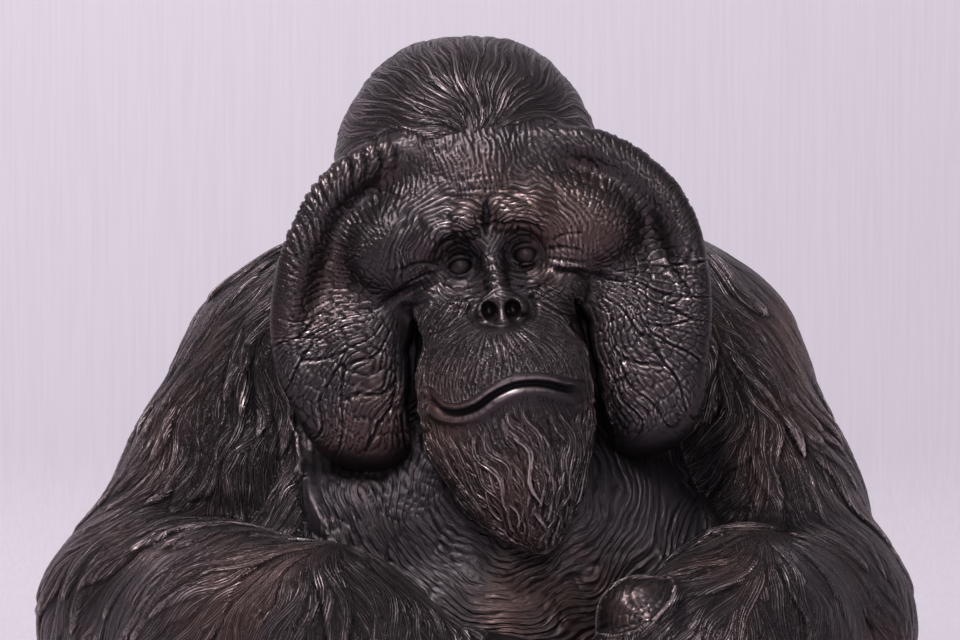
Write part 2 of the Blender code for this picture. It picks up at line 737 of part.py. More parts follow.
def make_dowels(torso, arms, hands, face, crown, beard, flanges):
    """Steel dowels across the seams."""
    lean = Vector((0, -math.sin(NECK_ROD_LEAN), math.cos(NECK_ROD_LEAN)))
    dowel(
        "neck_rod", NECK_SEAM, lean, NECK_ROD_BEHIND, NECK_ROD_AHEAD, NECK_ROD_RADIUS, torso, face
    )
    arm_rods = (
        ("left_arm_rod", LEFT_ARM_SEAM, Vector((-1, 0, 0)), arms[0]),
        ("right_arm_rod", RIGHT_ARM_SEAM, Vector((1, 0, 0)), arms[1]),
    )
    for name, seam, direction, arm in arm_rods:
        dowel(name, seam, direction, ARM_ROD_BEHIND, ARM_ROD_AHEAD, ARM_ROD_RADIUS, torso, arm)
    wrists = (
        ("left_wrist_pin", LEFT_WRIST, LEFT_WRIST_RADIUS, LEFT_KNUCKLES),
        ("right_wrist_pin", RIGHT_WRIST, RIGHT_WRIST_RADIUS, RIGHT_KNUCKLES),
    )
    for index, (name, wrist, radius, knuckles) in enumerate(wrists):
        direction = knuckles - wrist
        seam = wrist + direction.normalized() * radius
        pieces = (arms[index], hands[index])
        dowel(name, seam, direction, PIN_REACH, WRIST_PIN_AHEAD, PIN_RADIUS, *pieces)
    turn = HEAD_PLACE.to_3x3()
    for side, flange in zip((-1, 1), flanges):
        name = "left_flange_pin" if side < 0 else "right_flange_pin"
        lean = Matrix.Rotation(side * FLANGE_SPLIT_LEAN, 3, "Y")
        direction = turn @ lean @ Vector((side, 0, 0))
        seam = HEAD_PLACE @ (lean @ Vector((side * FLANGE_SPLIT, FLANGE_PIN_SETBACK, 0)))
        dowel(name, seam, direction, PIN_REACH, PIN_REACH, PIN_RADIUS, face, flange)
    slope = math.tan(CROWN_SPLIT_SLOPE) * CROWN_PIN_SETBACK
    direction = turn @ Vector((0, math.sin(CROWN_SPLIT_SLOPE), math.cos(CROWN_SPLIT_SLOPE)))
    for index, side in enumerate((-1, 1)):
        place = (side * CROWN_PIN_SPACING / 2, CROWN_SPLIT_HEIGHT - slope, -CROWN_PIN_SETBACK)
        seam = head_point(*place)
        name = f"crown_pin_{index + 1}"
        dowel(name, seam, direction, PIN_REACH, PIN_REACH, PIN_RADIUS, face, crown)
    slope = math.tan(BEARD_SPLIT_SLOPE) * BEARD_PIN_FORWARD
    seam = head_point(0, slope - BEARD_SPLIT_DROP, BEARD_PIN_FORWARD)
    direction = turn @ Vector((0, math.sin(BEARD_SPLIT_SLOPE), math.cos(BEARD_SPLIT_SLOPE)))
    dowel("beard_pin", seam, direction, PIN_REACH, PIN_REACH, PIN_RADIUS, face, beard)


def main():
    clear_scene()
    torso, skin = make_torso()
    left, right, left_hand, right_hand, seam = make_arms(skin)
    face, crown, beard, flanges = make_head(seam)
    arms = (left, right)
    hands = (left_hand, right_hand)
    make_dowels(torso, arms, hands, face, crown, beard, flanges)
    make_underside(torso)
    for obj in (torso, *arms, *hands, face, crown, beard, *flanges):
        finish(obj, "bronze", BRONZE)


main()
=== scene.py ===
import math
import time
from functools import reduce

import bpy
import numpy as np
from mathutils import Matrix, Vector


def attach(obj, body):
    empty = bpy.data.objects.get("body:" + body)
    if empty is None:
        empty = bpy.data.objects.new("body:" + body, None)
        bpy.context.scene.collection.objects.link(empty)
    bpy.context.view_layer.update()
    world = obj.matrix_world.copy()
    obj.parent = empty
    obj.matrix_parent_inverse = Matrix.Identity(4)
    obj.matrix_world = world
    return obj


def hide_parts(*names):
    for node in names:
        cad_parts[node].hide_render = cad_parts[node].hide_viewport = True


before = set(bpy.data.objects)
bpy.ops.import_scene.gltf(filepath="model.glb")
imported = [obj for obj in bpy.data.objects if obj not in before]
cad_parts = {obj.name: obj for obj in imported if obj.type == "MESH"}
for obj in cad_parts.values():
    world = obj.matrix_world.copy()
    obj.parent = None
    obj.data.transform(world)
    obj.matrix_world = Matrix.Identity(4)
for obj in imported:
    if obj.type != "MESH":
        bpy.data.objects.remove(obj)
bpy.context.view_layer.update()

started = time.time()


def report(stage):
    print(f"{time.time() - started:5.0f} s  {stage}")


# The sculpting below is in millimetres. A mesh is scaled to metres when it is made.

# the front view's frame: its width in pixels, a pixel's size, the column of x 0 and the row of z 0
frontView = {"width": 960, "pixel": 0.456, "column": 473.5, "row": 735}


def fromView(px, py):
    return (px - frontView["column"]) * frontView["pixel"], (frontView["row"] - py) * frontView["pixel"]


def toView(x, z):
    return x / frontView["pixel"] + frontView["column"], frontView["row"] - z / frontView["pixel"]


# Distances to simple forms, joined softly


def softMin(a, b, k):
    h = np.maximum(k - np.abs(a - b), 0) / k
    return np.minimum(a, b) - h * h * k * 0.25


def softMax(a, b, k):
    return -softMin(-a, -b, k)


def ball(p, centre, radii):
    q = p - np.asarray(centre, np.float32)
    r = np.asarray(radii, np.float32) * np.ones(3, np.float32)
    near = np.sqrt(((q / r) ** 2).sum(1))
    steep = np.sqrt(((q / (r * r)) ** 2).sum(1))
    return near * (near - 1) / np.maximum(steep, 1e-6)


def joined(parts, k):
    return reduce(lambda a, b: softMin(a, b, k), parts)


def cone(p, start, end):
    # rounded at both ends, from one station (x, y, z, radius) to the next
    a = np.asarray(start[:3], np.float32)
    ab = np.asarray(end[:3], np.float32) - a
    share = np.clip((p - a) @ ab / float(ab @ ab), 0, 1)
    off = p - a - share[:, None] * ab
    return np.sqrt((off * off).sum(1)) - (start[3] + (end[3] - start[3]) * share)


def limb(p, stations, k=4.0):
    return joined((cone(p, start, end) for start, end in zip(stations, stations[1:])), k)


def blend(d, p, parts):
    # adds balls, given as (centre, radii, softness), and limbs, given as (stations, softness)
    for *shape, softness in parts:
        part = limb(p, *shape) if isinstance(shape[0], list) else ball(p, *shape)
        d = softMin(d, part, softness)
    return d


def within(p, wanted, form, apart=60.0):
    # works a form out only where it can matter
    d = np.full(len(p), apart, np.float32)
    if wanted.any():
        d[wanted] = form(p[wanted])
    return d


def smoothPath(points, closed=False, steps=5):
    # a curve that passes through every point
    points = [np.asarray(q, float) for q in points]
    count = len(points)
    made = []
    for i in range(count if closed else count - 1):
        near = [(i + j) % count if closed else min(max(i + j, 0), count - 1) for j in (-1, 0, 1, 2)]
        a, b, c, d = (points[j] for j in near)
        for step in range(steps):
            t = step / steps
            made.append(0.5 * (2 * b + (c - a) * t + (2 * a - 5 * b + 4 * c - d) * t * t
                               + (3 * b - a - 3 * c + d) * t * t * t))
    if not closed:
        made.append(points[-1])
    return np.array(made)


def pathDistance(u, v, path):
    # distance to a flat path, which side it is on, and how far along
    best = np.full(len(u), 1e9, np.float32)
    side = np.zeros(len(u), np.float32)
    along = np.zeros(len(u), np.float32)
    run = 0.0
    for (ax, ay), (bx, by) in zip(path[:-1], path[1:]):
        dx, dy = bx - ax, by - ay
        length = math.hypot(dx, dy)
        if length < 1e-6:
            continue
        t = np.clip(((u - ax) * dx + (v - ay) * dy) / (length * length), 0, 1)
        ox, oy = u - ax - t * dx, v - ay - t * dy
        d = np.sqrt(ox * ox + oy * oy)
        closer = d < best
        best = np.where(closer, d, best)
        side = np.where(closer, (dx * oy - dy * ox) / length, side)
        along = np.where(closer, run + t * length, along)
        run += length
    return best, side, along, run


def insideLoop(u, v, loop):
    inside = np.zeros(len(u), bool)
    for (ax, ay), (bx, by) in zip(loop, np.roll(loop, -1, axis=0)):
        crosses = (ay > v) != (by > v)
        inside ^= crosses & (u < (bx - ax) * (v - ay) / (by - ay + 1e-12) + ax)
    return inside


# Noise


def scatter(i, j, k, salt):
    # a repeatable number from 0 to 1 for each whole-number cell
    n = (i.astype(np.int64) * 73856093) ^ (j.astype(np.int64) * 19349663)
    n ^= (k.astype(np.int64) * 83492791) ^ (salt * 2654435761)
    n = (n ^ (n >> 13)) * 1274126177 & 0xFFFFFFFF
    n = (n ^ (n >> 16)) * 2246822519 & 0xFFFFFFFF
    return ((n ^ (n >> 15)) & 0xFFFFFF).astype(np.float32) / 0xFFFFFF


def softNoise(p, salt=0):
    # smooth noise from -1 to 1 over points in any number of axes up to three
    if p.shape[1] == 2:
        p = np.column_stack([p, np.zeros(len(p))])
    cell = np.floor(p).astype(np.int64)
    f = (p - cell).astype(np.float32)
    f = f * f * (3 - 2 * f)
    total = np.zeros(len(p), np.float32)
    for dx in (0, 1):
        wx = f[:, 0] if dx else 1 - f[:, 0]
        for dy in (0, 1):
            wy = f[:, 1] if dy else 1 - f[:, 1]
            for dz in (0, 1):
                wz = f[:, 2] if dz else 1 - f[:, 2]
                corner = scatter(cell[:, 0] + dx, cell[:, 1] + dy, cell[:, 2] + dz, salt)
                total += wx * wy * wz * corner
    return total * 2 - 1


def flatNoise(a, b, size, salt):
    return softNoise(np.column_stack([a / size, b / size]), salt)


def fade(value, low, high):
    # rises smoothly from 0 at low to 1 at high
    t = np.clip((value - low) / (high - low), 0, 1)
    return t * t * (3 - 2 * t)


def cracks(x, y, salt=0):
    # irregular cells on a flat grid: how far each point is from its cell's edge, and the cell's number
    ci, cj = np.floor(x).astype(np.int64), np.floor(y).astype(np.int64)
    first = np.full(len(x), 9.0, np.float32)
    second = np.full(len(x), 9.0, np.float32)
    number = np.zeros(len(x), np.float32)
    for di in (-1, 0, 1):
        for dj in (-1, 0, 1):
            i, j = ci + di, cj + dj
            ox = i + 0.15 + 0.7 * scatter(i, j, i * 0, salt) - x
            oy = j + 0.15 + 0.7 * scatter(i, j, i * 0 + 1, salt) - y
            d = np.sqrt(ox * ox + oy * oy).astype(np.float32)
            closer = d < first
            second = np.where(closer, first, np.minimum(second, d))
            number = np.where(closer, scatter(i, j, i * 0 + 2, salt), number)
            first = np.where(closer, d, first)
    return second - first, number


def skinCells(x, y, salt, gap, depth, uneven):
    # cracked skin: a groove around every cell, and cells of slightly different heights
    edge, number = cracks(x, y, salt)
    return -fade(gap - edge, 0, gap) * depth + (number - 0.5) * uneven


# From distances to a mesh


cubeCorners = list(np.ndindex(2, 2, 2))


def block(corner, sizes):
    return tuple(slice(c, c + n) for c, n in zip(corner, sizes))


def repeated(grid, count):
    for axis in range(3):
        grid = grid.repeat(count, axis)
    return grid


def distanceGrid(distance, low, high, cell, coarse=4):
    # looks for the surface on a coarse grid, and works out the fine one only near it
    blocks = np.ceil((np.asarray(high, float) - low) / (cell * coarse)).astype(int)
    shape = blocks * coarse + 1
    axes = [low[i] + cell * np.arange(shape[i]) for i in range(3)]
    rough = np.stack(np.meshgrid(*[a[::coarse] for a in axes], indexing="ij"), -1)
    far = distance(rough.reshape(-1, 3).astype(np.float32)).reshape(rough.shape[:3])
    near = np.abs(far) < cell * coarse * 1.9
    live = np.zeros(blocks, bool)
    for corner in cubeCorners:
        live |= near[block(corner, blocks)]
    live = repeated(live, coarse)
    wanted = np.zeros(shape, bool)
    for corner in cubeCorners:
        wanted[block(corner, live.shape)] |= live
    value = np.pad(repeated(far[:-1, :-1, :-1], coarse), ((0, 1),) * 3, mode="edge").astype(np.float32)
    index = np.argwhere(wanted)
    points = np.stack([axes[i][index[:, i]] for i in range(3)], 1).astype(np.float32)
    value[wanted] = distance(points)
    return value


def quadsAlong(axis, inside, number):
    # one quad around each grid edge along this axis that passes through the surface
    one, two = [i for i in range(3) if i != axis]
    start, stop = [slice(None)] * 3, [slice(None)] * 3
    start[axis], stop[axis] = slice(0, -1), slice(1, None)
    edge = np.argwhere(inside[tuple(start)] != inside[tuple(stop)])
    edge = edge[(edge[:, one] > 0) & (edge[:, two] > 0)]
    edge = edge[(edge[:, one] < number.shape[one]) & (edge[:, two] < number.shape[two])]
    quad = []
    for da, db in ((0, 0), (1, 0), (1, 1), (0, 1)):
        near = edge.copy()
        near[:, one] -= da
        near[:, two] -= db
        quad.append(number[tuple(near.T)])
    quad = np.stack(quad, 1)
    outward = inside[tuple(edge.T)]
    if axis == 1:
        outward = ~outward
    quad[~outward] = quad[~outward][:, ::-1]
    return quad


def surfaceOf(distance, low, high, cell):
    # a point in each cell that the surface passes through, joined by quads
    low = np.asarray(low, float)
    value = distanceGrid(distance, low, high, cell)
    inside = value < 0
    cells = [n - 1 for n in value.shape]
    count = np.zeros(cells, np.int8)
    for corner in cubeCorners:
        count += inside[block(corner, cells)]
    active = np.argwhere((count > 0) & (count < 8))
    number = np.full(cells, -1, np.int64)
    number[tuple(active.T)] = np.arange(len(active))
    total = np.zeros((len(active), 3))
    hits = np.zeros(len(active))
    for a in cubeCorners:
        for axis in range(3):
            if a[axis]:
                continue
            b = tuple(c + (axis == i) for i, c in enumerate(a))
            va = value[tuple((active + a).T)]
            vb = value[tuple((active + b).T)]
            cross = (va < 0) != (vb < 0)
            spot = active + np.asarray(a, float)
            spot[:, axis] += np.where(cross, va / np.where(cross, va - vb, 1), 0)
            total += spot * cross[:, None]
            hits += cross
    verts = low + cell * total / hits[:, None]
    return verts.astype(np.float32), np.concatenate([quadsAlong(axis, inside, number) for axis in range(3)])


def sidesOf(quads):
    return np.stack([quads, np.roll(quads, -1, 1)], -1).reshape(-1, 2)


def splitFaces(verts, quads):
    # every quad becomes four
    edges = sidesOf(quads)
    edges.sort(1)
    key = edges[:, 0] * (len(verts) + 1) + edges[:, 1]
    _, firsts, back = np.unique(key, return_index=True, return_inverse=True)
    mids = verts[edges[firsts]].mean(1)
    hubs = verts[quads].mean(1)
    m = len(verts) + back.reshape(-1, 4)
    h = len(verts) + len(mids) + np.arange(len(quads))
    made = [np.stack([quads[:, i], m[:, i], h, m[:, i - 1]], 1) for i in range(4)]
    return np.concatenate([verts, mids, hubs]).astype(np.float32), np.concatenate(made)


def slopeOf(distance, p, step=0.25):
    turns = np.array([(1, -1, -1), (-1, -1, 1), (-1, 1, -1), (1, 1, 1)], np.float32)
    slope = sum(t * distance(p + t * step)[:, None] for t in turns)
    return slope / (4 * step)


def settle(distance, p, rounds=2):
    # pulls points onto the surface
    slope = slopeOf(distance, p)
    size = np.maximum((slope * slope).sum(1), 0.05)
    for _ in range(rounds):
        move = distance(p)[:, None] * slope / size[:, None]
        p = (p - np.clip(move, -1.5, 1.5)).astype(np.float32)
    return p, slope / np.sqrt(size)[:, None]


def pointNormals(verts, quads):
    a, b = verts[quads[:, 2]] - verts[quads[:, 0]], verts[quads[:, 3]] - verts[quads[:, 1]]
    flat = np.cross(a, b)
    total = np.stack([sum(np.bincount(quads[:, i], flat[:, axis], len(verts)) for i in range(4))
                      for axis in range(3)], 1)
    return (total / np.maximum(np.linalg.norm(total, axis=1), 1e-9)[:, None]).astype(np.float32)


def edgesOf(quads):
    edges = sidesOf(quads)
    return edges[edges[:, 0] < edges[:, 1]]


def blurred(values, edges, rounds):
    # evens out a value over neighbouring points
    count = np.bincount(edges.ravel(), minlength=len(values)).astype(np.float32)
    for _ in range(rounds):
        total = (np.bincount(edges[:, 0], values[edges[:, 1]], len(values))
                 + np.bincount(edges[:, 1], values[edges[:, 0]], len(values)))
        values = (0.4 * values + 0.6 * total / np.maximum(count, 1)).astype(np.float32)
    return values


def addToScene(name, data):
    made = bpy.data.objects.new(name, data)
    bpy.context.scene.collection.objects.link(made)
    return made


def makeMesh(name, verts, quads, fields, material):
    mesh = bpy.data.meshes.new(name)
    mesh.vertices.add(len(verts))
    mesh.vertices.foreach_set("co", (verts * 0.001).astype(np.float32).ravel())
    mesh.loops.add(quads.size)
    mesh.loops.foreach_set("vertex_index", quads.astype(np.int32).ravel())
    mesh.polygons.add(len(quads))
    mesh.polygons.foreach_set("loop_start", np.arange(0, quads.size, 4, dtype=np.int32))
    mesh.polygons.foreach_set("loop_total", np.full(len(quads), 4, np.int32))
    mesh.update(calc_edges=True)
    mesh.shade_smooth()
    for title, values in fields.items():
        kind, key = ("FLOAT_VECTOR", "vector") if values.ndim == 2 else ("FLOAT", "value")
        mesh.attributes.new(title, kind, "POINT").data.foreach_set(key, values.astype(np.float32).ravel())
    mesh.materials.append(material)
    return addToScene(name, mesh)


# Hair: locks are traced over a form, then laid on its mesh like shingles


class Crowd:
    # finds the mesh points near a lock quickly
    def __init__(self, verts, size):
        self.size = size
        self.low = verts.min(0) - size
        self.span = np.ceil((verts.max(0) - self.low) / size).astype(np.int64) + 2
        self.key = self.keyOf(verts)
        self.order = np.argsort(self.key, kind="stable")
        self.sorted = self.key[self.order]

    def keyOf(self, p):
        c = np.floor((p - self.low) / self.size).astype(np.int64)
        c = np.clip(c, 0, self.span - 1)
        return (c[:, 0] * self.span[1] + c[:, 1]) * self.span[2] + c[:, 2]

    def near(self, p, reach):
        spread = np.array(list(np.ndindex(3, 3, 3)), np.float32) - 1
        around = (p[:, None, :] + spread[None] * min(reach, self.size)).reshape(-1, 3)
        keys = np.unique(self.keyOf(around))
        first = np.searchsorted(self.sorted, keys, "left")
        last = np.searchsorted(self.sorted, keys, "right")
        return np.concatenate([self.order[a:b] for a, b in zip(first, last)] or [np.zeros(0, int)])


def pickRoots(verts, wanted, spacing, rng):
    # one random point in each cell of a grid, out of those wanted
    chosen = np.flatnonzero(wanted)
    chosen = rng.permutation(chosen)
    shift = rng.uniform(0, spacing, 3)
    cell = np.floor((verts[chosen] + shift) / spacing).astype(np.int64)
    key = (cell[:, 0] * 9973 + cell[:, 1]) * 9973 + cell[:, 2]
    _, first = np.unique(key, return_index=True)
    return chosen[first]


def traceLocks(distance, flow, roots, length, steps, wave, waveLength, phase):
    # walks every lock along the flow at once, swaying from side to side
    p = roots.astype(np.float32)
    spots, normals = [], []
    stride = (length / steps)[:, None]
    walked = np.zeros(len(p))
    for step in range(steps + 1):
        p, n = settle(distance, p, 1)
        spots.append(p)
        normals.append(n)
        way = flow(p, n)
        way -= (way * n).sum(1)[:, None] * n
        way /= np.maximum(np.linalg.norm(way, axis=1), 1e-6)[:, None]
        side = np.cross(n, way)
        sway = wave * np.sin(2 * np.pi * walked / waveLength + phase)
        p = p + stride * (way * np.cos(sway)[:, None] + side * np.sin(sway)[:, None])
        walked += length / steps
    return np.stack(spots, 1), np.stack(normals, 1)


def layLocks(verts, crowd, paths, normals, spec, width, height):
    # lays each lock on the mesh points that it covers, keeping the highest
    top, across, along, share = (np.zeros(len(verts), np.float32) for _ in range(4))
    owner = np.full(len(verts), -1, np.int32)
    for k in range(len(paths)):
        path, normal = paths[k], normals[k]
        half = width[k]
        found = crowd.near(path, half)
        if not len(found):
            continue
        q = verts[found]
        a, ab = path[:-1], path[1:] - path[:-1]
        long = np.maximum((ab * ab).sum(1), 1e-6)
        rel = q[:, None, :] - a[None]
        t = np.clip((rel * ab[None]).sum(2) / long, 0, 1)
        off = rel - t[:, :, None] * ab[None]
        d2 = (off * off).sum(2)
        seg = d2.argmin(1)
        rows = np.arange(len(q))
        s = (seg + t[rows, seg]) / len(ab)
        side = np.cross(normal[seg], ab[seg])
        o = off[rows, seg]
        lateral = (o * side).sum(1) / np.maximum(np.linalg.norm(side, axis=1), 1e-6)
        lift = np.abs((o * normal[seg]).sum(1))
        body = np.minimum(1, spec["rootWidth"] + s / spec["swell"]) * (1 - s ** spec["point"]) ** 0.7
        reach = half * body
        x = lateral / np.maximum(reach, 1e-3)
        ok = (np.abs(x) < 1) & (lift < half * 1.2) & (s > 0.002) & (s < 0.998)
        crown = np.sqrt(np.maximum(1 - x * x, 0))
        h = height[k] * (spec["rootHeight"] + (1 - spec["rootHeight"]) * s ** 0.8)
        h = h * (spec["edge"] + (1 - spec["edge"]) * crown)
        h = h * np.minimum(1, (1 - s) / 0.12 + 0.35) * np.minimum(1, s / 0.07)
        better = ok & (h > top[found])
        hit = found[better]
        top[hit] = h[better]
        across[hit] = x[better]
        along[hit] = s[better]
        owner[hit] = k
        share[hit] = crown[better]
    return top, across, along, owner, share


def hairOn(verts, distance, mask, flow, spec):
    # the whole hair of one region: its relief and the data that its finish reads
    rng = np.random.default_rng(spec["seed"])
    roots = verts[pickRoots(verts, mask > 0.5, spec["spacing"], rng)]
    if "hairline" in spec:
        along = pickRoots(verts, (mask > 0.3) & (mask < 0.95), spec["hairline"], rng)
        roots = np.vstack([roots, verts[along]])
    count = len(roots)
    length = spec["length"] * rng.uniform(0.7, 1.3, count)
    if "tip" in spec:
        length *= np.clip(np.linalg.norm(roots - np.array(spec["tip"]), axis=1) / spec["length"], 0.15, 1)
    steady = softNoise(roots / spec["waveShare"], spec["seed"]) * 2.5
    phase = steady + rng.uniform(-0.5, 0.5, count)
    waveLength = spec["waveLength"] * rng.uniform(0.85, 1.2, count)
    wave = spec["wave"] * rng.uniform(0.6, 1.3, count)
    paths, normals = traceLocks(distance, flow, roots, length, spec["steps"], wave, waveLength, phase)
    width = spec["halfWidth"] * rng.uniform(0.65, 1.3, count)
    height = spec["height"] * rng.uniform(0.7, 1.2, count)
    crowd = Crowd(verts, spec["halfWidth"] * 1.3 + 1)
    top, across, along, owner, share = layLocks(verts, crowd, paths, normals, spec, width, height)
    owned = owner >= 0
    o = np.maximum(owner, 0)
    strand = across * width[o] / spec["strand"]
    pull = 0.55 * np.sin(2 * np.pi * strand + 2.3 * softNoise(
        np.column_stack([strand * 0.9, along * 3, o * 1.7]), spec["seed"] + 5))
    relief = top + spec["strandDepth"] * pull * owned * np.clip(share * 1.6, 0, 1)
    data = np.column_stack([strand, along * length[o] / 10, o * 0.137])
    print(f"        {count} locks cover {owned[mask > 0.5].mean():.0%}")
    return relief * np.clip(mask * 2, 0, 1), data, owned & (mask > 0.3), share * spec["fine"]


class FlatMap:
    # a value worked out once on a flat grid of two axes, and read back smoothly
    def __init__(self, low, high, cell, rule):
        self.low, self.cell = np.asarray(low, np.float32), cell
        count = [int((high[i] - low[i]) / cell) + 2 for i in range(2)]
        gu, gv = np.meshgrid(*[low[i] + cell * np.arange(count[i]) for i in range(2)], indexing="ij")
        self.grid = rule(gu.ravel(), gv.ravel()).reshape(gu.shape).astype(np.float32)

    def __call__(self, u, v):
        x = np.clip((u - self.low[0]) / self.cell, 0, self.grid.shape[0] - 1.001)
        y = np.clip((v - self.low[1]) / self.cell, 0, self.grid.shape[1] - 1.001)
        i, j = x.astype(np.int32), y.astype(np.int32)
        x, y = x - i, y - j
        g = self.grid
        return ((g[i, j] * (1 - x) + g[i + 1, j] * x) * (1 - y)
                + (g[i, j + 1] * (1 - x) + g[i + 1, j + 1] * x) * y)


# The head, in its own axes: u across, v up, w forward, rolled about the line of sight

head = {
    "centre": (9.4, -55.0, 205.2),
    "roll": math.radians(9),
    "cell": 1.35,
    "rimRadius": 9.0,
    "webFront": -1.0,
    "webBack": -14.0,
    "low": (-118, -128, -116), "high": (112, 122, 66),
    # the slots that part the lower lobes from the muzzle
    "slots": [[(-38, -12, 30, 0.6), (-41.5, -24, 30, 1.4), (-44.5, -46, 30, 2.0), (-48, -84, 30, 3)],
              [(34.5, -12, 30, 0.6), (38, -24, 30, 1.0), (38.5, -45, 30, 1.3), (38, -90, 30, 2.6)]],
}

leftFlange = {
    "outline": [(-6, 66), (-18.1, 72), (-33.6, 74.5), (-46.1, 73.7), (-57.9, 70.0), (-67.8, 63.7),
                (-76.8, 56.2), (-87.2, 41.9), (-94.6, 28.8), (-101.5, 9.8), (-104.3, -4.3),
                (-104.7, -21.1), (-101.5, -36.1), (-95.8, -49.3), (-88.4, -59.4), (-79.6, -67.5),
                (-66.0, -73.1), (-53.8, -73.9), (-46, -69), (-42, -45), (-40, -20), (-34, -9),
                (-24, 6), (-14, 30)],
    "hub": (-41.0, 3.0),
    "inner": (42, 70),
    "foot": -72,
    "rays": 15.0, "cross": 4.8,
    "balls": [((-42, 22, 0), (22, 22, 19)), ((-25, 31, 0), (20, 19, 19)),
              ((-66, -30, -3), (27, 33, 16)), ((-68, -52, -3), (24, 21, 14))],
}

rightFlange = {
    "outline": [(8, 64), (24, 68.5), (41.1, 67.7), (57.3, 63.5), (72.5, 53.8), (84.0, 41.9),
                (91.2, 30.7), (95.9, 17.7), (98.0, 2.8), (97.9, -15.1), (95.8, -30.5),
                (91.3, -46.5), (87.0, -59.3), (80.1, -71.6), (71.1, -82.5), (61.5, -86.5),
                (50.1, -87.5), (40.5, -83.5), (37.5, -70), (38.5, -45), (39, -24), (33, -10),
                (24, 6), (16, 28)],
    "hub": (38.5, -0.5),
    "inner": (36, 62),
    "foot": -84,
    "rays": 12.0, "cross": 6.2,
    "balls": [((43, 20, 1), (26, 22, 20)), ((26, 32, -1), (20, 20, 19)),
              ((60, -32, -3), (28, 32, 17)), ((62, -60, -3), (23, 24, 15))],
}


def edgeMap(outline):
    loop = smoothPath(outline, closed=True, steps=4)
    ring = np.vstack([loop, loop[:1]])

    def rule(u, v):
        d = pathDistance(u, v, ring)[0]
        return np.where(insideLoop(u, v, loop), -d, d)
    return FlatMap((-125, -110), (120, 100), 1.0, rule)


for flange in (leftFlange, rightFlange):
    flange["edge"] = edgeMap(flange["outline"])


def flangeForm(p, flange):
    return within(p, p[:, 2] > -50, lambda q: padForm(q, flange))


def padForm(p, flange):
    edge = flange["edge"](p[:, 0], p[:, 1])
    radius = head["rimRadius"]
    # the rim stands forward at the sides and sinks where it meets the face
    low = fade(-p[:, 1], -6, 12)
    out = fade(np.abs(p[:, 0]), 6, 48)
    centre = -8 + 7 * out
    w = p[:, 2] + 9 * low * (1 - fade(np.abs(p[:, 0]), *flange["inner"]))
    rim = np.sqrt((edge + radius) ** 2 + (w - centre) ** 2) - radius
    middle = (head["webFront"] + head["webBack"]) / 2
    thick = (head["webFront"] - head["webBack"]) / 2
    web = np.maximum(np.abs(w - middle) - thick, edge + radius)
    d = softMin(rim, web, 8)
    for centre, radii in flange["balls"]:
        d = softMin(d, ball(p, centre, radii), 11)
    return d


faceCore = [
    ((0, 36, -14), (38, 34, 35), 10),                       # forehead
    ([(-24, 61.5, -5, 10), (-8, 59, -2, 10.5), (10, 57.5, -2, 10.5), (28, 58, -5, 10)], 10),
    ([(-30, 20, 13, 7), (-22, 27, 19, 7), (-9, 31, 20, 7.5)], 6),       # brows
    ([(11.5, 31.5, 20, 7.5), (22, 29, 19, 7), (31, 20, 12, 7)], 6),
    ((-25, -7, 8), (13, 15, 14), 8), ((29, -3, 7), (12, 16, 14), 8),    # cheekbones
]
eyeSockets = [((-14.3, 12.6, 27), (11.4, 11.2, 14.2)), ((16.1, 11.4, 27), (11.4, 11.2, 14.2))]
faceFront = [
    ((-8.3, 30.5, 19.5), (8.6, 6.8, 9.5), 4), ((11.6, 31.5, 19.5), (9.6, 6.6, 9.5), 4),    # brow bosses
    ((-3, -45, 14), (40.5, 33, 43), 14),                    # muzzle
    ((-3, -64, 14), (37, 30, 35), 10),                      # jaw
    ([(0.4, 24, 14.5, 4.0), (0.4, 17, 17.5, 2.3), (0.9, 10, 20.5, 2.9), (1.3, 2, 23.5, 4.4),
      (1.7, -4, 27, 5.2)], 3.5),                            # bridge of the nose
    ((1.4, -6.8, 29.5), (8.2, 4.6, 6), 3),                  # its tip, its wings and what parts them
    ((-5.8, -10.8, 29.5), (5.0, 5.2, 7), 3), ((9.6, -11.8, 29.5), (5.0, 5.2, 7), 3),
    ([(1.7, -9, 33, 2.0), (1.4, -17, 37, 2.6)], 3),
]
nostrils = [((-4.2, -11.2, 36), (3.5, 4.3, 8.5)), ((6.6, -12.3, 36), (3.5, 4.3, 8.5))]


def faceForm(p):
    d = blend(ball(p, (0, 8, -8), (36, 40, 30)), p, faceCore)
    for socket in eyeSockets:
        d = softMax(d, -ball(p, *socket), 4)
    d = blend(d, p, faceFront)
    for nostril in nostrils:
        d = softMax(d, -ball(p, *nostril), 1.2)
    return d


eyes = {
    "centres": [(-13.9, 10.7, 13.8), (16.0, 11.4, 13.8)],
    "radius": 5.3,
    "cell": 0.5,
    "shade": -0.45,
    # upper and lower lid, the crease above and the bag below: half width, half height, the angles of the
    # two ends, thickness, and the radius of the ball that the curve lies on
    "lids": [(6.1, 4.3, 168, 14, 1.15, 6.5), (5.8, 4.5, 200, 340, 0.7, 6.0),
             (8.8, 8.4, 160, 25, 0.8, 6.6), (7.4, 8.0, 215, 330, 1.1, 7.0)],
}


def lidArc(eye, wide, tall, start, end, thick, hug):
    stations = []
    for step in range(9):
        share = step / 8
        turn = math.radians(start + (end - start) * share)
        a, b = wide * math.cos(turn), tall * math.sin(turn)
        lift = math.sqrt(max(hug * hug - a * a - b * b, 0)) - 0.4
        radius = thick * (0.55 + 0.45 * math.sin(math.pi * share))
        stations.append((eye[0] + a, eye[1] + b, eye[2] + lift, radius))
    return stations


def lidForm(p):
    return joined((limb(p, lidArc(eye, *lid), 0.8) for eye in eyes["centres"] for lid in eyes["lids"]), 1.2)


skullParts = [((-3.8, 54.8, -50), (60.3, 58.8, 57), 14), ((-13.5, 83, -48), (26.5, 27, 38), 14),
              ((14, 79, -48), (26.5, 27, 38), 14), ((-2, -30, -40), (52, 50, 42), 16)]


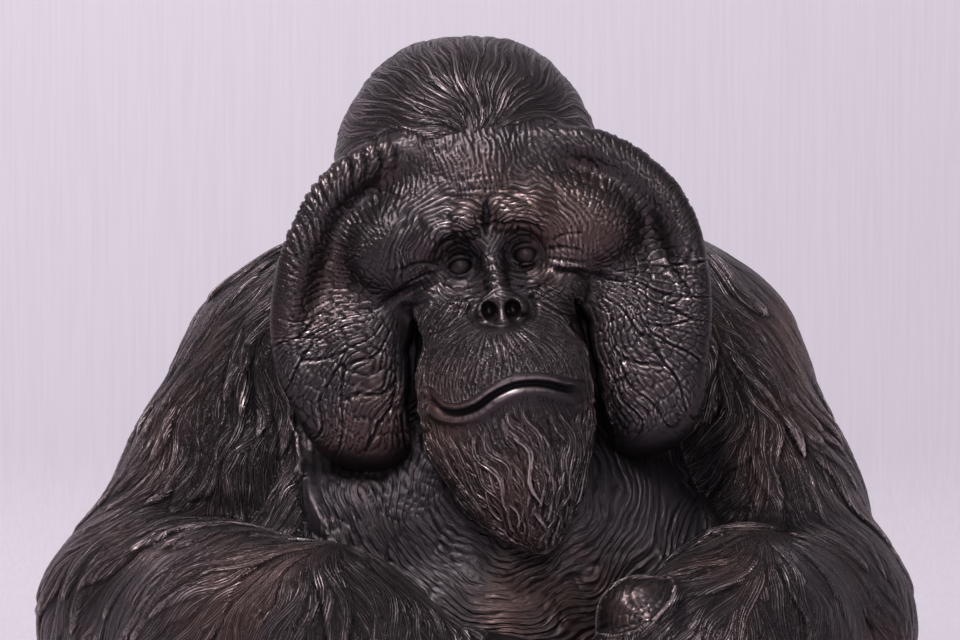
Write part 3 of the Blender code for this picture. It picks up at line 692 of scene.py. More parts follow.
def skullForm(p):
    return blend(ball(p, (0, 20, -46), (60, 58, 56)), p, skullParts)


def beardForm(p):
    return limb(p, [(-3, -72, 18, 34), (-2, -84, 23, 28), (-1, -97, 29, 17), (2, -108, 34, 8.5),
                    (3.5, -116, 37, 2.5)], 8)


def inFace(p):
    return (p[:, 2] > -44) & (np.abs(p[:, 0]) < 62)


def headForm(p):
    d = softMin(skullForm(p), within(p, inFace(p), faceForm), 10)
    for flange in (leftFlange, rightFlange):
        d = softMin(d, flangeForm(p, flange), 9)
    flat = np.column_stack([p[:, 0], p[:, 1], np.full(len(p), 30, np.float32)])
    for slot in head["slots"]:
        deep = np.maximum(limb(flat, slot), -9 - 6 * fade(-p[:, 1], 34, 62) - p[:, 2])
        d = softMax(d, -deep, 3)
    d = softMin(d, beardForm(p), 7)
    near = (p[:, 2] > 2) & (np.abs(p[:, 0]) < 32) & (np.abs(p[:, 1] - 8) < 22)
    return softMin(d, within(p, near, lidForm), 2.0)


def headToWorld(p):
    c, s = math.cos(head["roll"]), math.sin(head["roll"])
    u, v, w = p[:, 0], p[:, 1], p[:, 2]
    turned = np.column_stack([u * c - v * s, -w, u * s + v * c]).astype(np.float32)
    return turned + np.asarray(head["centre"], np.float32)


# The body, in the model's own axes

body = {
    "cell": 1.9,
    "low": (-212, -166, -2), "high": (212, 116, 250),
    "breast": [(75.0, -103, 56), (18, 16, 17)],
    "trunk": [((4, 22, 92), (112, 84, 108)), ((6, 40, 150), (116, 62, 80)), ((4, -22, 44), (88, 64, 62)),
              ((24, -40, 98), (66, 34, 44)), ((6, 0, 196), (58, 50, 44)), ((-71, 30, 167), (49, 48, 60)),
              ((86, 30, 171), (50, 48, 60)), ((-52, -34, 84), (48, 36, 42)), ((68, -32, 80), (48, 36, 42))],
    "leftArm": [(-90, 30, 168, 44), (-118, 11, 109, 41.3), (-149, -14, 50, 45.5), (-112, -66, 46, 44),
                (-66, -98, 44, 41), (-8, -112, 31, 20)],
    "rightArm": [(107, 30, 173, 43), (130, 11, 107, 42.5), (150.5, -14, 50, 46.5), (126, -62, 46, 44),
                 (97, -92, 34, 33), (54, -112, 20, 18)],
}


def trunkForm(p):
    d = joined((ball(p, *shape) for shape in body["trunk"]), 14)
    return softMin(d, ball(p, *body["breast"]), 7)


def handForm(p):
    knuckles = (20, -121, 32)
    d = limb(p, [(-8, -112, 31, 17.5), (*knuckles, 12.5)])
    for finger in range(4):
        turn = math.radians(4 + 33 * finger)
        around = np.array((0, -math.sin(turn), math.cos(turn)))
        stations = [(*knuckles, 6.2)]
        for along, lift in ((0.0, 0.0), (0.45, 2.0), (0.8, 1.0), (1.0, -2.0)):
            t = along - 0.06 * abs(finger - 1)
            middle = np.array((28, -118, 13)) * (1 - t) + np.array((80, -104, 23)) * t
            stations.append((*(middle + around * (19 + lift)), 6.2))
        d = softMin(d, limb(p, stations, 2), 1.5)
    d = softMin(d, limb(p, [(6, -108.5, 41.5, 8.1), (50, -101, 34, 6.2)]), 2)
    knuckles = (18, -124, 11)
    lower = limb(p, [(54, -112, 20, 15.5), (*knuckles, 9.5)])
    for row in (1.5, 0.5, -0.5, -1.5):
        root = np.array(knuckles) + (-2, row * 12.8, -1)
        tip = root + np.array((-1.0, -0.2, -0.05)) * (50 - 3 * abs(row - 0.5))
        middle = root + np.array((-25, -6, 2.0))
        finger = limb(p, [(*knuckles, 6.2), (*root, 6.8), (*middle, 6.2), (*tip, 5.6)], 2)
        lower = softMin(lower, finger, 1.5)
    return softMin(d, lower, 1)


def nearHands(p):
    return (p[:, 1] < -70) & (p[:, 2] < 75) & (p[:, 0] > -50)


def bodyForm(p):
    d = trunkForm(p)
    arms = softMin(limb(p, body["leftArm"], 16), limb(p, body["rightArm"], 16), 6)
    d = softMin(d, arms, 9)
    d = softMin(d, within(p, nearHands(p), handForm), 5)
    return softMax(d, 1.2 - p[:, 2], 3)


# Hair of the head, and the fine marks of its skin

# what the locks share unless their own entry says otherwise
plainLock = {"steps": 16, "strandDepth": 0.0, "rootWidth": 0.4, "swell": 0.3, "point": 2.6,
             "rootHeight": 0.15, "edge": 0.15, "fine": 1.0}

crownHair = {**plainLock, "seed": 11, "spacing": 6.2, "hairline": 3.4, "length": 84, "wave": 0.2,
             "waveLength": 34, "waveShare": 26, "halfWidth": 2.7, "height": 1.9, "strand": 1.9,
             "strandDepth": 0.25, "rootWidth": 0.35, "swell": 0.2, "point": 5.0, "rootHeight": 0.5,
             "edge": 0.2}
beardHair = {**plainLock, "seed": 21, "spacing": 6.6, "length": 56, "steps": 20, "wave": 0.5,
             "waveLength": 28, "waveShare": 18, "halfWidth": 2.8, "height": 3.2, "strand": 1.7,
             "strandDepth": 0.1, "rootWidth": 0.35, "rootHeight": 0.2, "edge": 0.1, "fine": 0.6,
             "tip": (3.5, -118, 40)}
whiskers = {**plainLock, "seed": 31, "spacing": 4.6, "length": 15, "steps": 8, "wave": 0.7,
            "waveLength": 13, "waveShare": 8, "halfWidth": 1.7, "height": 1.1, "strand": 1.3,
            "strandDepth": 0.06, "rootWidth": 0.5, "point": 2.0, "rootHeight": 0.2, "fine": 0.5}
lipHair = {**plainLock, "seed": 41, "spacing": 2.3, "length": 13, "steps": 5, "wave": 0.12,
           "waveLength": 14, "waveShare": 10, "halfWidth": 0.8, "height": 0.95, "strand": 1.5,
           "swell": 0.4, "point": 2.0, "edge": 0.2}
chinHair = {**plainLock, "seed": 45, "spacing": 3.0, "length": 17, "steps": 6, "wave": 0.2,
            "waveLength": 16, "waveShare": 12, "halfWidth": 1.1, "height": 0.6, "strand": 1.4,
            "swell": 0.4, "point": 2.0, "fine": 0.5}

mouthLine = smoothPath([(-37.5, -45.5), (-36.1, -48.3), (-32.7, -52.6), (-25.6, -54.8), (-16.9, -53.5),
                        (-8.9, -49.5), (0.1, -46.6), (8.6, -46.4), (16.8, -48.2), (24.7, -51.6),
                        (30.5, -53.2)], steps=4)

# each line of the face: its points, half its width and its depth, where a minus makes a ridge
faceLines = [
    ([(1.8, 38), (1.2, 31), (0.2, 24)], 1.1, 1.8), ([(-3.6, 33), (-3.0, 27)], 0.7, 0.7),
    ([(5.4, 33), (4.4, 27)], 0.7, 0.6), ([(4, 27), (10, 25.4), (18, 25), (26, 20)], 1.2, 1.3),
    ([(-2, 26), (-8, 24.6), (-16, 24), (-24, 18)], 1.2, 1.1),
    ([(-18, 33), (-13, 37.5), (-6, 38), (-2, 34)], 0.8, 0.8), ([(-16, 29), (-11, 33), (-5, 33.5)], 0.6, 0.5),
    ([(5, 35), (10, 39), (17, 38.5), (22, 33)], 0.8, 0.8), ([(7, 31.5), (12, 34.6), (18, 33)], 0.6, 0.5),
    ([(-20, 40), (-10, 42.6), (1, 39.6), (12, 43), (22, 39.5)], 0.8, 0.6),
    ([(-13, 43.5), (-4, 44.5), (6, 43.4), (14, 44.8)], 0.7, 0.45),
    ([(-9, 49), (0, 49.6), (9, 48.8)], 0.7, 0.4),
    ([(-4.5, 8.6), (1, 9.6), (6, 8.4)], 0.55, 0.6), ([(-5.5, 4.8), (1.2, 5.8), (7.5, 4.6)], 0.6, 0.6),
    ([(-6.5, 1.2), (1.3, 2.2), (9, 1.0)], 0.6, 0.6), ([(-3.5, 13), (0.6, 13.8), (4.4, 13)], 0.5, 0.4),
    ([(-22, 4.5), (-15, 0.2), (-7.5, 1.6)], 0.7, 0.7), ([(-24, 0.5), (-16, -4.6), (-7, -2.4)], 0.7, 0.6),
    ([(-22, -3.5), (-15, -8.6), (-9, -7)], 0.6, 0.45), ([(9.5, 2.4), (17, 0.4), (24, 4.6)], 0.7, 0.7),
    ([(10, -1.8), (18, -4.4), (26, -0.4)], 0.7, 0.6), ([(13, -7), (19, -9.2), (26, -6)], 0.6, 0.45),
    ([(-23, 10), (-31, 9), (-41, 5.5)], 0.8, 0.9), ([(-24, 13), (-32, 14.5), (-42, 13)], 0.8, 0.7),
    ([(-23, 6.5), (-31, 4), (-40, 0)], 0.8, 0.8), ([(-26, 2), (-33, -2), (-42, -4)], 0.7, 0.6),
    ([(25, 12), (33, 12), (42, 9)], 0.8, 0.8), ([(25, 8.5), (33, 6.5), (43, 3)], 0.8, 0.9),
    ([(26, 5), (34, 1.5), (42, -1)], 0.8, 0.7), ([(27, 15), (35, 17.5), (44, 17)], 0.7, 0.6),
    ([(-50, -0.6), (-42, 2.6), (-33, 5.5), (-27, 8)], 1.7, 2.2),
    ([(44.4, -3.3), (38, 0.5), (31, 2.5), (27, 4)], 1.5, 1.8),
    ([(44.4, -3.3), (52, -4.6), (60, -6.6)], 1.5, 1.5), ([(-50, -0.6), (-57, -2), (-65, -1)], 1.5, 1.2),
    ([(-10.8, -5.5), (-13.5, -11), (-12, -17)], 0.8, 0.9), ([(14.5, -6), (17.5, -12), (16, -18)], 0.8, 0.9),
    ([(-17, -11), (-23, -16), (-32, -18)], 0.8, 0.6), ([(21, -12), (27, -17), (32, -19)], 0.8, 0.6),
    ([(-8, -16.8), (1.6, -18.6), (12, -17.4)], 1.0, 0.8),
]

# places on the head with painted shade, or with a minus a painted highlight
paintedShadeAndHighlightSpots = [(-64, 31, 14, -0.35), (62.6, -44.5, 20, -0.4), (-73, -28, 24, 0.25), (0, 56, 26, 0.2),
               (-40, 38, 12, 0.25), (-28, 26, 16, -0.15), (-8, 33, 7, -0.3), (14, 33, 8, -0.35),
               (0, -30, 24, -0.35)]

lipShape = {"groove": 2.9, "grooveWidth": 1.5, "upper": 0.5, "lower": 0.6, "under": 0.35}


def drawLines(relief, u, v, front, lines):
    for points, width, depth in lines:
        path = smoothPath(points, steps=4)
        low, high = path.min(0) - 3 * width - 1, path.max(0) + 3 * width + 1
        near = front & (u > low[0]) & (u < high[0]) & (v > low[1]) & (v < high[1])
        if not near.any():
            continue
        d, _, along, run = pathDistance(u[near], v[near], path)
        ends = fade(along, 0, 0.2 * run) * fade(run - along, 0, 0.2 * run)
        relief[near] -= depth * np.exp(-(d / width) ** 2) * (0.35 + 0.65 * ends)


def mouthRelief(u, v, front):
    relief = np.zeros(len(u), np.float32)
    near = front & (u > -46) & (u < 40) & (v > -72) & (v < -32)
    d, side, along, run = pathDistance(u[near], v[near], mouthLine)
    ends = fade(along, 0, 6) * fade(run - along, 0, 6)
    high = d * np.sign(side)
    relief[near] = ends * (lipShape["upper"] * np.exp(-((high - 3.0) / 1.7) ** 2)
                           + lipShape["lower"] * np.exp(-((high + 3.5) / 2.1) ** 2)
                           - lipShape["under"] * np.exp(-((high + 7.4) / 2.4) ** 2))
    relief[near] -= lipShape["groove"] * np.exp(-(d / lipShape["grooveWidth"]) ** 2) * (0.3 + 0.7 * ends)
    return relief


def fineNoise(u, v):
    return flatNoise(u, v, 7, 8)


def padWrinkles(u, v, flange):
    # cracked cells that fan out from the hub, and fine lines around the eye and up the forehead
    hu, hv = flange["hub"]
    side, rays, cross = np.sign(hu), flange["rays"], flange["cross"]
    du, dv = u - hu, v - hv
    far = np.sqrt(du * du + dv * dv) + 1e-3
    sway, small = flatNoise(u, v, 18, 5), fineNoise(u, v)
    turn = np.arctan2(dv, du * side) + 0.14 * sway
    outward = np.log(far + 7)
    plates = skinCells(turn * rays + 40, outward * cross + small * 0.3, 3, 0.3, 0.85, 0.25)
    plates *= 1 - 0.6 * fade(far, 38, 56)
    plates += (skinCells(turn * rays * 1.9 + 11, outward * cross * 1.9 + sway, 31, 0.32, 0.6, 0.2)
               * (0.25 + 0.75 * fade(far, 36, 52)))
    close = skinCells(turn * 7.0 + 80, far / 5.5 + small * 0.4, 4, 0.26, 0.6, 0.2)
    gorges = -fade(0.11 - cracks(turn * 4.2 + 20, far / 45, 10)[0], 0, 0.11) * 1.1
    lower = fade(-v, -12, 8)
    smooth = fade(np.abs(u) - flange["inner"][0], 0, 12) * fade(v - flange["foot"], 0, 12)
    outer = fade(far, 20, 28)
    cells = (plates * outer + close * (1 - outer)) * (0.8 + 0.2 * lower) + gorges * fade(far, 8, 20) * lower
    cells *= 1 - lower * (1 - smooth)
    eu, ev = side * 14, 14
    ring = np.hypot(u - eu, v - ev)
    around = np.arctan2(v - ev, u - eu)
    rings = skinCells(ring / 2.3 + small * 0.8 + sway * 0.6, around * 1.3 + 30 + sway * 0.1, 6, 0.36, 0.85, 0.2)
    inner = (1 - fade(ring, 28, 42)) * (1 - lower * fade(np.abs(u), 28, 36))
    lines = skinCells(u / 2.1 + small * 0.7 + sway * 0.5, v / 17 + sway * 0.3, 7, 0.34, 0.6, 0.15)
    upright = (1 - fade(np.abs(u - 1) - 0.75 * (v - 40), 3, 14)) * fade(v, 37, 45)
    rings = rings * (1 - upright) + lines * upright
    inner = np.maximum(inner, upright)
    return cells * (1 - inner) + rings * inner


def rimFolds(u, v, depth, flange):
    # deep grooves that cross the rim at its upper left, and fine cracked skin on the rest of it
    middle = [np.mean([q[i] for q in flange["outline"]]) for i in (0, 1)]
    turn = np.arctan2(v - middle[1], (u - middle[0]) * np.sign(middle[0]))
    across = turn * 10 + 1.1 * flatNoise(u, v, 20, 14)
    strong = fade(-u, 18, 36) * fade(v, 4, 46) * (0.5 + 0.7 * flatNoise(u, v, 9, 12))
    off = across - np.round(across)
    groove = (-1.1 * np.exp(-(off / 0.12) ** 2) - 0.4 * np.cos(2 * np.pi * off)) * strong
    skin = skinCells(turn * 23 + fineNoise(u, v) * 0.5, depth / 7.5 + fineNoise(v, u) * 0.4, 9, 0.3, 0.6, 0.3)
    return groove + skin


def swayed(way, p, n, size, amount):
    # turns the flow to and fro, so that neighbouring locks wave together
    turn = amount * (softNoise(p / size, 71) + 0.4 * softNoise(p / (size * 0.45), 72))
    return way * np.cos(turn)[:, None] + np.cross(n, way) * np.sin(turn)[:, None]


def crownFlow(p, n):
    way = p - np.array((0.0, 64.0, 9.0), np.float32)
    way /= np.maximum(np.linalg.norm(way, axis=1), 1)[:, None]
    return swayed(way + np.array((0, 0, -0.25), np.float32), p, n, 17, 0.5)


def beardFlow(p, n):
    way = np.array((2.5, -150, 44), np.float32) - p
    way[:, 0] += 1.1 * p[:, 0] * fade(p[:, 1], -92, -58)
    way /= np.maximum(np.linalg.norm(way, axis=1), 1)[:, None]
    # the locks lie calmer towards the beard's tip
    calm = fade(np.linalg.norm(p - np.array(beardHair["tip"], np.float32), axis=1), 8, 45)
    return swayed(way, p, n, 16, 0.55 * calm)


def whiskerFlow(p, n):
    side = np.sign(p[:, 0] + 3)
    return np.column_stack([side * 0.75, np.full(len(p), -1.0), np.full(len(p), -0.1)])


def lipFlow(p, n):
    out = np.sign(p[:, 0] - 1) * np.clip(np.abs(p[:, 0] - 1) / 22, 0, 1.3) * fade(p[:, 1], -60, -8)
    return swayed(np.column_stack([out, np.full(len(p), -1.0), np.zeros(len(p))]), p, n, 9, 0.25)


def headRegions(verts):
    # how far each point belongs to the crown, chin, beard, lip and whiskers, and to the muzzle under them
    u, v, w = verts.T
    pads = np.minimum(flangeForm(verts, leftFlange), flangeForm(verts, rightFlange))
    skull, beard = skullForm(verts), beardForm(verts)
    face = within(verts, inFace(verts), faceForm)
    hairline = 67.5 - 0.0022 * (u - 1) ** 2 + 0.8 * softNoise(np.column_stack([u / 4, v * 0]), 2)
    crown = fade(pads - skull, -1.5, 2.5) * fade(face - skull, -2, 3)
    crown *= np.maximum(fade(v, hairline - 1, hairline + 1), fade(-w, 12, 16))
    crown *= fade(v + 60, 0, 20) * fade(beard - skull, 0, 4)
    d, side, _, _ = pathDistance(u, v, mouthLine)
    below = np.where(np.abs(u + 3) < 36, d * np.sign(side), v + 50)
    onChin = fade(w, 0, 8) * (np.abs(u + 3) < 47) * fade(skull - np.minimum(beard, face), -6, 0)
    bearded = fade(-below, 8, 11) * onChin
    chin = fade(-below, 4.6, 5.8) * onChin
    muzzle = fade(3 - face, 0, 3) * fade(w, 4, 14)
    edge = np.where(u < -3, -31 - 0.12 * (-10 - v), 29 + 0.04 * (-10 - v))
    outside = np.where(u < -3, edge - u, u - edge)
    whisker = muzzle * fade(outside, 0, 4) * fade(-v, 14, 20) * (1 - bearded) * fade(-outside, -20, -14)
    nose = np.minimum(np.hypot(u - 1.7, (v + 9) * 1.2), np.hypot(u - 1, (v - 6) * 0.6))
    lip = muzzle * fade(-v, 1, 6) * fade(nose, 13.5, 16.5) * np.where(v < -38, fade(below, 4.4, 5.6), 1)
    lip *= (1 - whisker) * fade(w, 6, 14)
    return crown, chin, bearded, lip, whisker, muzzle


def dressPad(relief, verts, normals, flange, crown, muzzle):
    u, v, w = verts.T
    on = np.flatnonzero((np.sign(u) == np.sign(flange["hub"][0])) & (crown < 0.9))
    pu, pv = u[on], v[on]
    depth = -flange["edge"](pu, pv)
    pad = np.maximum(fade(depth, -2, 4) * fade(np.abs(pu), 22, 34), fade(pv, 17, 23))
    pad = np.maximum(pad, 0.6 * fade(w[on], -6, 2))
    pad *= 1 - muzzle[on] * fade(-pv, 4, 14) * 0.9
    for eu, ev, _ in eyes["centres"]:
        pad *= fade(np.hypot(pu - eu, pv - ev), 5, 9)
    pad = np.where(normals[on, 2] < -0.2, 0.7, pad)
    rim = (1 - fade(depth, 9, 20)) * fade(np.abs(pu), 24, 40) * fade(pv, -6, 14)
    marks = padWrinkles(pu, pv, flange) * (1 - rim) + rimFolds(pu, pv, depth, flange) * rim
    relief[on] += marks * pad * (1 - crown[on])


def headPaintedShadeAndLight(verts):
    # painted shade: darker in the sockets, beside the muzzle and inside the foot of each lobe, where shade
    # falls; the listed spots add painted shade and painted highlights
    u, v, w = verts.T
    paintedShadeAndLight = np.zeros(len(u), np.float32)
    for eu, ev, _ in eyes["centres"]:
        paintedShadeAndLight = np.maximum(paintedShadeAndLight, 0.75 * (1 - fade(np.hypot((u - eu) / 12.5, (v - ev - 2.5) / 11), 0.55, 1.1)))
    for flange in (leftFlange, rightFlange):
        out = u * np.sign(flange["hub"][0])
        inward = 1 - fade(out - flange["inner"][0], 2, 20)
        paintedShadeAndLight = np.maximum(paintedShadeAndLight, 0.9 * inward * fade(out, 30, 36) * fade(-v, 6, 20) * (w < 10))
        paintedShadeAndLight = np.maximum(paintedShadeAndLight, 0.8 * fade(flange["foot"] + 16 - v, 0, 16) * (out > 30) * (w < 20))
    for pu, pv, reach, amount in paintedShadeAndHighlightSpots:
        paintedShadeAndLight += amount * np.exp(-((u - pu) ** 2 + (v - pv) ** 2) / reach ** 2)
    return paintedShadeAndLight


def dressHead(verts, normals):
    u, v, _ = verts.T
    front = normals[:, 2] > -0.1
    crown, chin, bearded, lip, whisker, muzzle = headRegions(verts)
    relief = np.zeros(len(u), np.float32)
    drawLines(relief, u, v, front, faceLines)
    relief += mouthRelief(u, v, front)
    for flange in (leftFlange, rightFlange):
        dressPad(relief, verts, normals, flange, crown, muzzle)
    data = np.zeros((len(u), 3), np.float32)
    hair, share = np.zeros(len(u), np.float32), np.zeros(len(u), np.float32)
    for mask, flow, lock in ((crown, crownFlow, crownHair), (chin, beardFlow, chinHair),
                             (bearded, beardFlow, beardHair), (lip, lipFlow, lipHair),
                             (whisker, whiskerFlow, whiskers)):
        made, marks, owned, crest = hairOn(verts, headForm, mask, flow, lock)
        relief += made
        data[owned] = marks[owned]
        share[owned] = crest[owned]
        hair = np.maximum(hair, np.where(owned, mask, 0))
    return relief, data, hair, share, headPaintedShadeAndLight(verts) * front


# Hair and skin of the body

armHair = {**plainLock, "seed": 51, "spacing": 16.0, "length": 92, "wave": 0.30, "waveLength": 50,
           "waveShare": 24, "halfWidth": 8.4, "height": 3.8, "strand": 1.5, "swell": 0.35, "edge": 0.3}
strandHair = {**plainLock, "seed": 61, "spacing": 8.4, "length": 80, "wave": 0.28, "waveLength": 40,
              "waveShare": 18, "halfWidth": 3.0, "height": 0.8, "strand": 1.4, "strandDepth": 0.08,
              "rootHeight": 0.3, "edge": 0.25}

# places in the front view, with the way that the hair lies there, right and down
hairGuides = [
    (262, 262, -0.75, 0.66), (222, 292, -0.70, 0.72), (180, 334, -0.6, 0.8), (140, 400, -0.5, 0.86),
    (224, 350, -0.75, 0.55), (190, 370, -0.45, 0.9), (160, 415, 0.1, 1), (110, 470, -0.5, 0.86),
    (70, 530, -0.5, 0.86), (50, 570, -0.3, 0.95), (248, 430, 0.05, 1), (260, 380, -0.1, 1),
    (265, 480, -0.1, 1), (220, 450, -0.2, 1), (193, 450, -0.35, 0.94), (160, 480, -0.6, 0.8),
    (230, 500, 0.35, 0.94), (300, 548, -0.65, 0.6), (335, 566, 0.25, 0.95), (240, 555, -1, 0.15),
    (170, 565, -0.95, 0.35), (110, 590, -0.75, 0.66), (70, 620, -0.6, 0.8), (300, 590, -0.3, 0.95),
    (240, 610, -0.6, 0.8),
    (180, 630, -0.65, 0.75), (350, 600, -0.1, 1), (400, 620, 0.2, 1), (330, 640, -0.3, 0.95),
    (716, 265, 0.5, 0.85), (755, 290, 0.6, 0.8), (793, 324, 0.55, 0.83), (725, 330, 0.1, 1),
    (745, 370, 0.3, 0.95), (775, 380, 0.3, 0.95), (800, 420, 0.15, 1), (790, 455, 0.0, 1),
    (745, 440, -0.3, 0.95), (715, 462, -0.75, 0.6), (735, 500, -0.5, 0.86), (760, 490, -0.1, 1),
    (830, 440, 0.4, 0.9), (855, 490, 0.45, 0.88), (880, 530, 0.45, 0.88), (803, 535, 0.5, 0.8),
    (850, 560, 0.75, 0.6), (890, 590, 0.6, 0.8), (820, 590, 0.3, 0.95), (780, 570, -0.35, 0.94),
    (740, 560, -0.85, 0.5), (700, 585, -0.8, 0.6), (740, 610, -0.4, 0.9), (780, 620, 0, 1),
    (850, 625, 0.3, 0.95), (690, 630, -0.5, 0.86),
]
guideReach = 17.0
guidePlace = np.array([fromView(px, py) for px, py, _, _ in hairGuides], np.float32)
guideWay = np.array([(dx, 0, -dy) for _, _, dx, dy in hairGuides], np.float32)
guideWay /= np.linalg.norm(guideWay, axis=1)[:, None]


def bodyFlow(p, n):
    way = np.zeros((len(p), 3), np.float32)
    total = np.zeros(len(p), np.float32)
    for place, lie in zip(guidePlace, guideWay):
        off = (p[:, 0] - place[0]) ** 2 + (p[:, 2] - place[1]) ** 2
        weight = np.exp(-off / (2 * guideReach ** 2))
        way += weight[:, None] * lie
        total += weight
    way /= np.maximum(total, 1e-6)[:, None]
    facing = fade(-n[:, 1], -0.45, 0.1) * np.clip(total * 2, 0, 1)
    other = np.column_stack([0.30 * np.sign(p[:, 0]), np.full(len(p), 0.1), np.full(len(p), -1.0)])
    return swayed(way * facing[:, None] + other * (1 - facing)[:, None], p, n, 27, 0.62)


chestSkin = [(262, 395), (296, 440), (301, 500), (308, 540), (335, 562), (385, 585), (432, 625), (450, 660),
             (620, 665), (672, 655), (680, 604), (704, 572), (712, 520), (697, 470), (712, 420), (700, 380),
             (600, 340), (300, 340)]

# hollows and patches of painted shade in the front view: place, half width and half height in pixels, depth and
# how much painted shade
hollowsAndPaintedShade = [
    (215, 508, 62, 15, 2.2, 0.7), (262, 470, 18, 40, 2.0, 0.7), (252, 395, 14, 40, 1.5, 0.6),
    (300, 500, 14, 45, 0.6, 0.5), (780, 524, 66, 13, 2.2, 0.7), (712, 470, 22, 45, 2.5, 0.8),
    (700, 545, 30, 18, 1.5, 0.6), (540, 555, 60, 22, 0.5, 0.5), (636, 470, 36, 22, 0.5, 0.7),
    (400, 475, 50, 16, 0.5, 0.5), (215, 420, 60, 90, 0.0, 0.3), (820, 590, 110, 60, 0.0, 0.3),
    (308, 528, 16, 14, 0.8, 0.9), (676, 612, 9, 24, 0.3, 0.9), (640, 500, 40, 50, 0.0, 0.35),
    (430, 540, 140, 80, 0.0, 0.55), (690, 480, 50, 70, 0.0, 0.7), (560, 560, 60, 60, 0.0, 0.4),
]

# in pixels of the front view, apart from the middle of the folds, which is in millimetres
chest = {"folds": (13.9, 112.0), "breast": (636, 614, 27, 24), "nipple": (645, 616), "roll": (311, 480, 13, 80)}
chestLines = [
    ([(306, 426), (309, 490), (328, 530), (350, 560)], 3.8, -1.3),
    ([(310, 428), (316, 490), (340, 540)], 1.2, 1.0),
    ([(293, 440), (296, 490), (308, 530)], 1.2, 1.0), ([(653, 540), (664, 570), (672, 604)], 2.0, -0.8),
]


def spot(px, py, cx, cy, wide, tall):
    return np.exp(-((px - cx) / wide) ** 2 - ((py - cy) / tall) ** 2)


def chestMask(px, py):
    loop = smoothPath(chestSkin, closed=True, steps=3)
    ring = np.vstack([loop, loop[:1]])
    inside = FlatMap((-10, 180), (970, 760), 4.0, lambda a, b: np.where(
        insideLoop(a, b, loop), 1, -1) * pathDistance(a, b, ring)[0])
    return fade(inside(px, py), -3, 9)


def dressBody(verts, normals):
    x, y, z = verts.T
    px, py = toView(x, z)
    trunk = trunkForm(verts)
    arms = np.minimum(limb(verts, body["leftArm"], 16), limb(verts, body["rightArm"], 16))
    hands = within(verts, nearHands(verts), handForm)
    isSkin = chestMask(px, py) * fade(arms - trunk, -5, 4) * fade(-normals[:, 1], 0, 0.25)
    isHand = fade(np.minimum(arms, trunk) - hands, -1, 3)
    isSkin = np.maximum(isSkin, isHand)
    breast = spot(px, py, *chest["breast"]) * (y < -20) * isSkin
    rollX, rollY, rollWide, rollTall = chest["roll"]
    roll = np.hypot((px - rollX) / rollWide, (py - rollY) / rollTall)
    roll = 0.6 * fade(roll, 1.1, 0.5) * (y < -20) * isSkin
    smooth = np.clip(breast * 1.3 + roll, 0, 1)
    # bare skin: folds around the beard's tip, a lattice at the left and rings around the nipple
    bare = isSkin > 0.02
    bx, bz = x[bare], z[bare]
    away, down = bx - chest["folds"][0], chest["folds"][1] - bz
    far, turn = np.hypot(away * 0.9, down), np.arctan2(away, down)
    sway = flatNoise(bx, bz, 14, 13)
    folds = skinCells(far / 6.5 + sway, turn * 1.5 + 30 + sway * 0.6, 17, 0.45, 0.8, 0.3)
    lattice = skinCells((bx * 0.75 + bz * 0.66) / 4.6 + sway * 0.8, (bz * 0.75 - bx * 0.66) / 13 + sway * 0.4,
                        19, 0.4, 0.9, 0.3)
    toLeft = fade(-bx, -2, 22)
    folds = folds * (1 - toLeft) + lattice * toLeft
    folds *= 0.6 + 0.5 * flatNoise(bx, bz, 9, 16)
    folds *= 1 - 0.7 * smooth[bare]
    ringX, ringY = px[bare] - chest["nipple"][0], py[bare] - chest["nipple"][1]
    folds += skinCells(np.hypot(ringX, ringY) / 6 + sway * 0.8, np.arctan2(ringX, ringY) * 2.2 + 9,
                       23, 0.4, 0.8, 0.25) * breast[bare]
    relief = np.zeros(len(x), np.float32)
    relief[bare] = folds * isSkin[bare] * (1 - 0.7 * isHand[bare])
    relief += 1.4 * spot(px, py, *chest["nipple"], 5, 5) * breast
    drawLines(relief, x, z, (normals[:, 1] < -0.1) & bare,
              [([fromView(*q) for q in points], width, depth) for points, width, depth in chestLines])
    # painted shade in the hollows and patches, a painted shadow of the head over the upper chest, and a painted
    # highlight on the breast and the roll
    dark = np.zeros(len(x), np.float32)
    facing = fade(-normals[:, 1], 0, 0.3)
    for *where, depth, paintedShadeAndLight in hollowsAndPaintedShade:
        pit = spot(px, py, *where) * facing
        relief -= depth * pit
        dark = np.maximum(dark, paintedShadeAndLight * pit)
    dark = np.maximum(0.7 * isSkin * fade(z, 60, 120) * fade(-y, 20, 50), dark) - 0.35 * breast - 0.3 * roll
    # fine lines where no lock lies
    data = np.zeros((len(x), 3), np.float32)
    data[bare] = np.column_stack([far / 3.1 + sway * 1.2, turn * 9, 0 * far])
    data[~bare] = np.column_stack([x[~bare] / 1.5 + z[~bare] / 9, z[~bare] / 14, 0 * x[~bare]])
    isHair = 1 - isSkin
    hair = 0.45 * isSkin * (1 - isHand) * (1 - smooth) + 0.45 * isHair
    share, locks = hair, []
    for lock in (armHair, strandHair):
        made, marks, owned, crest = hairOn(verts, bodyForm, isHair, bodyFlow, lock)
        locks.append(made)
        data[owned] = marks[owned]
        hair, share = np.where(owned, isHair, hair), np.where(owned, crest, share)
    relief += locks[0] + locks[1]
    return relief, data, hair, share, dark


# Build the head and the body


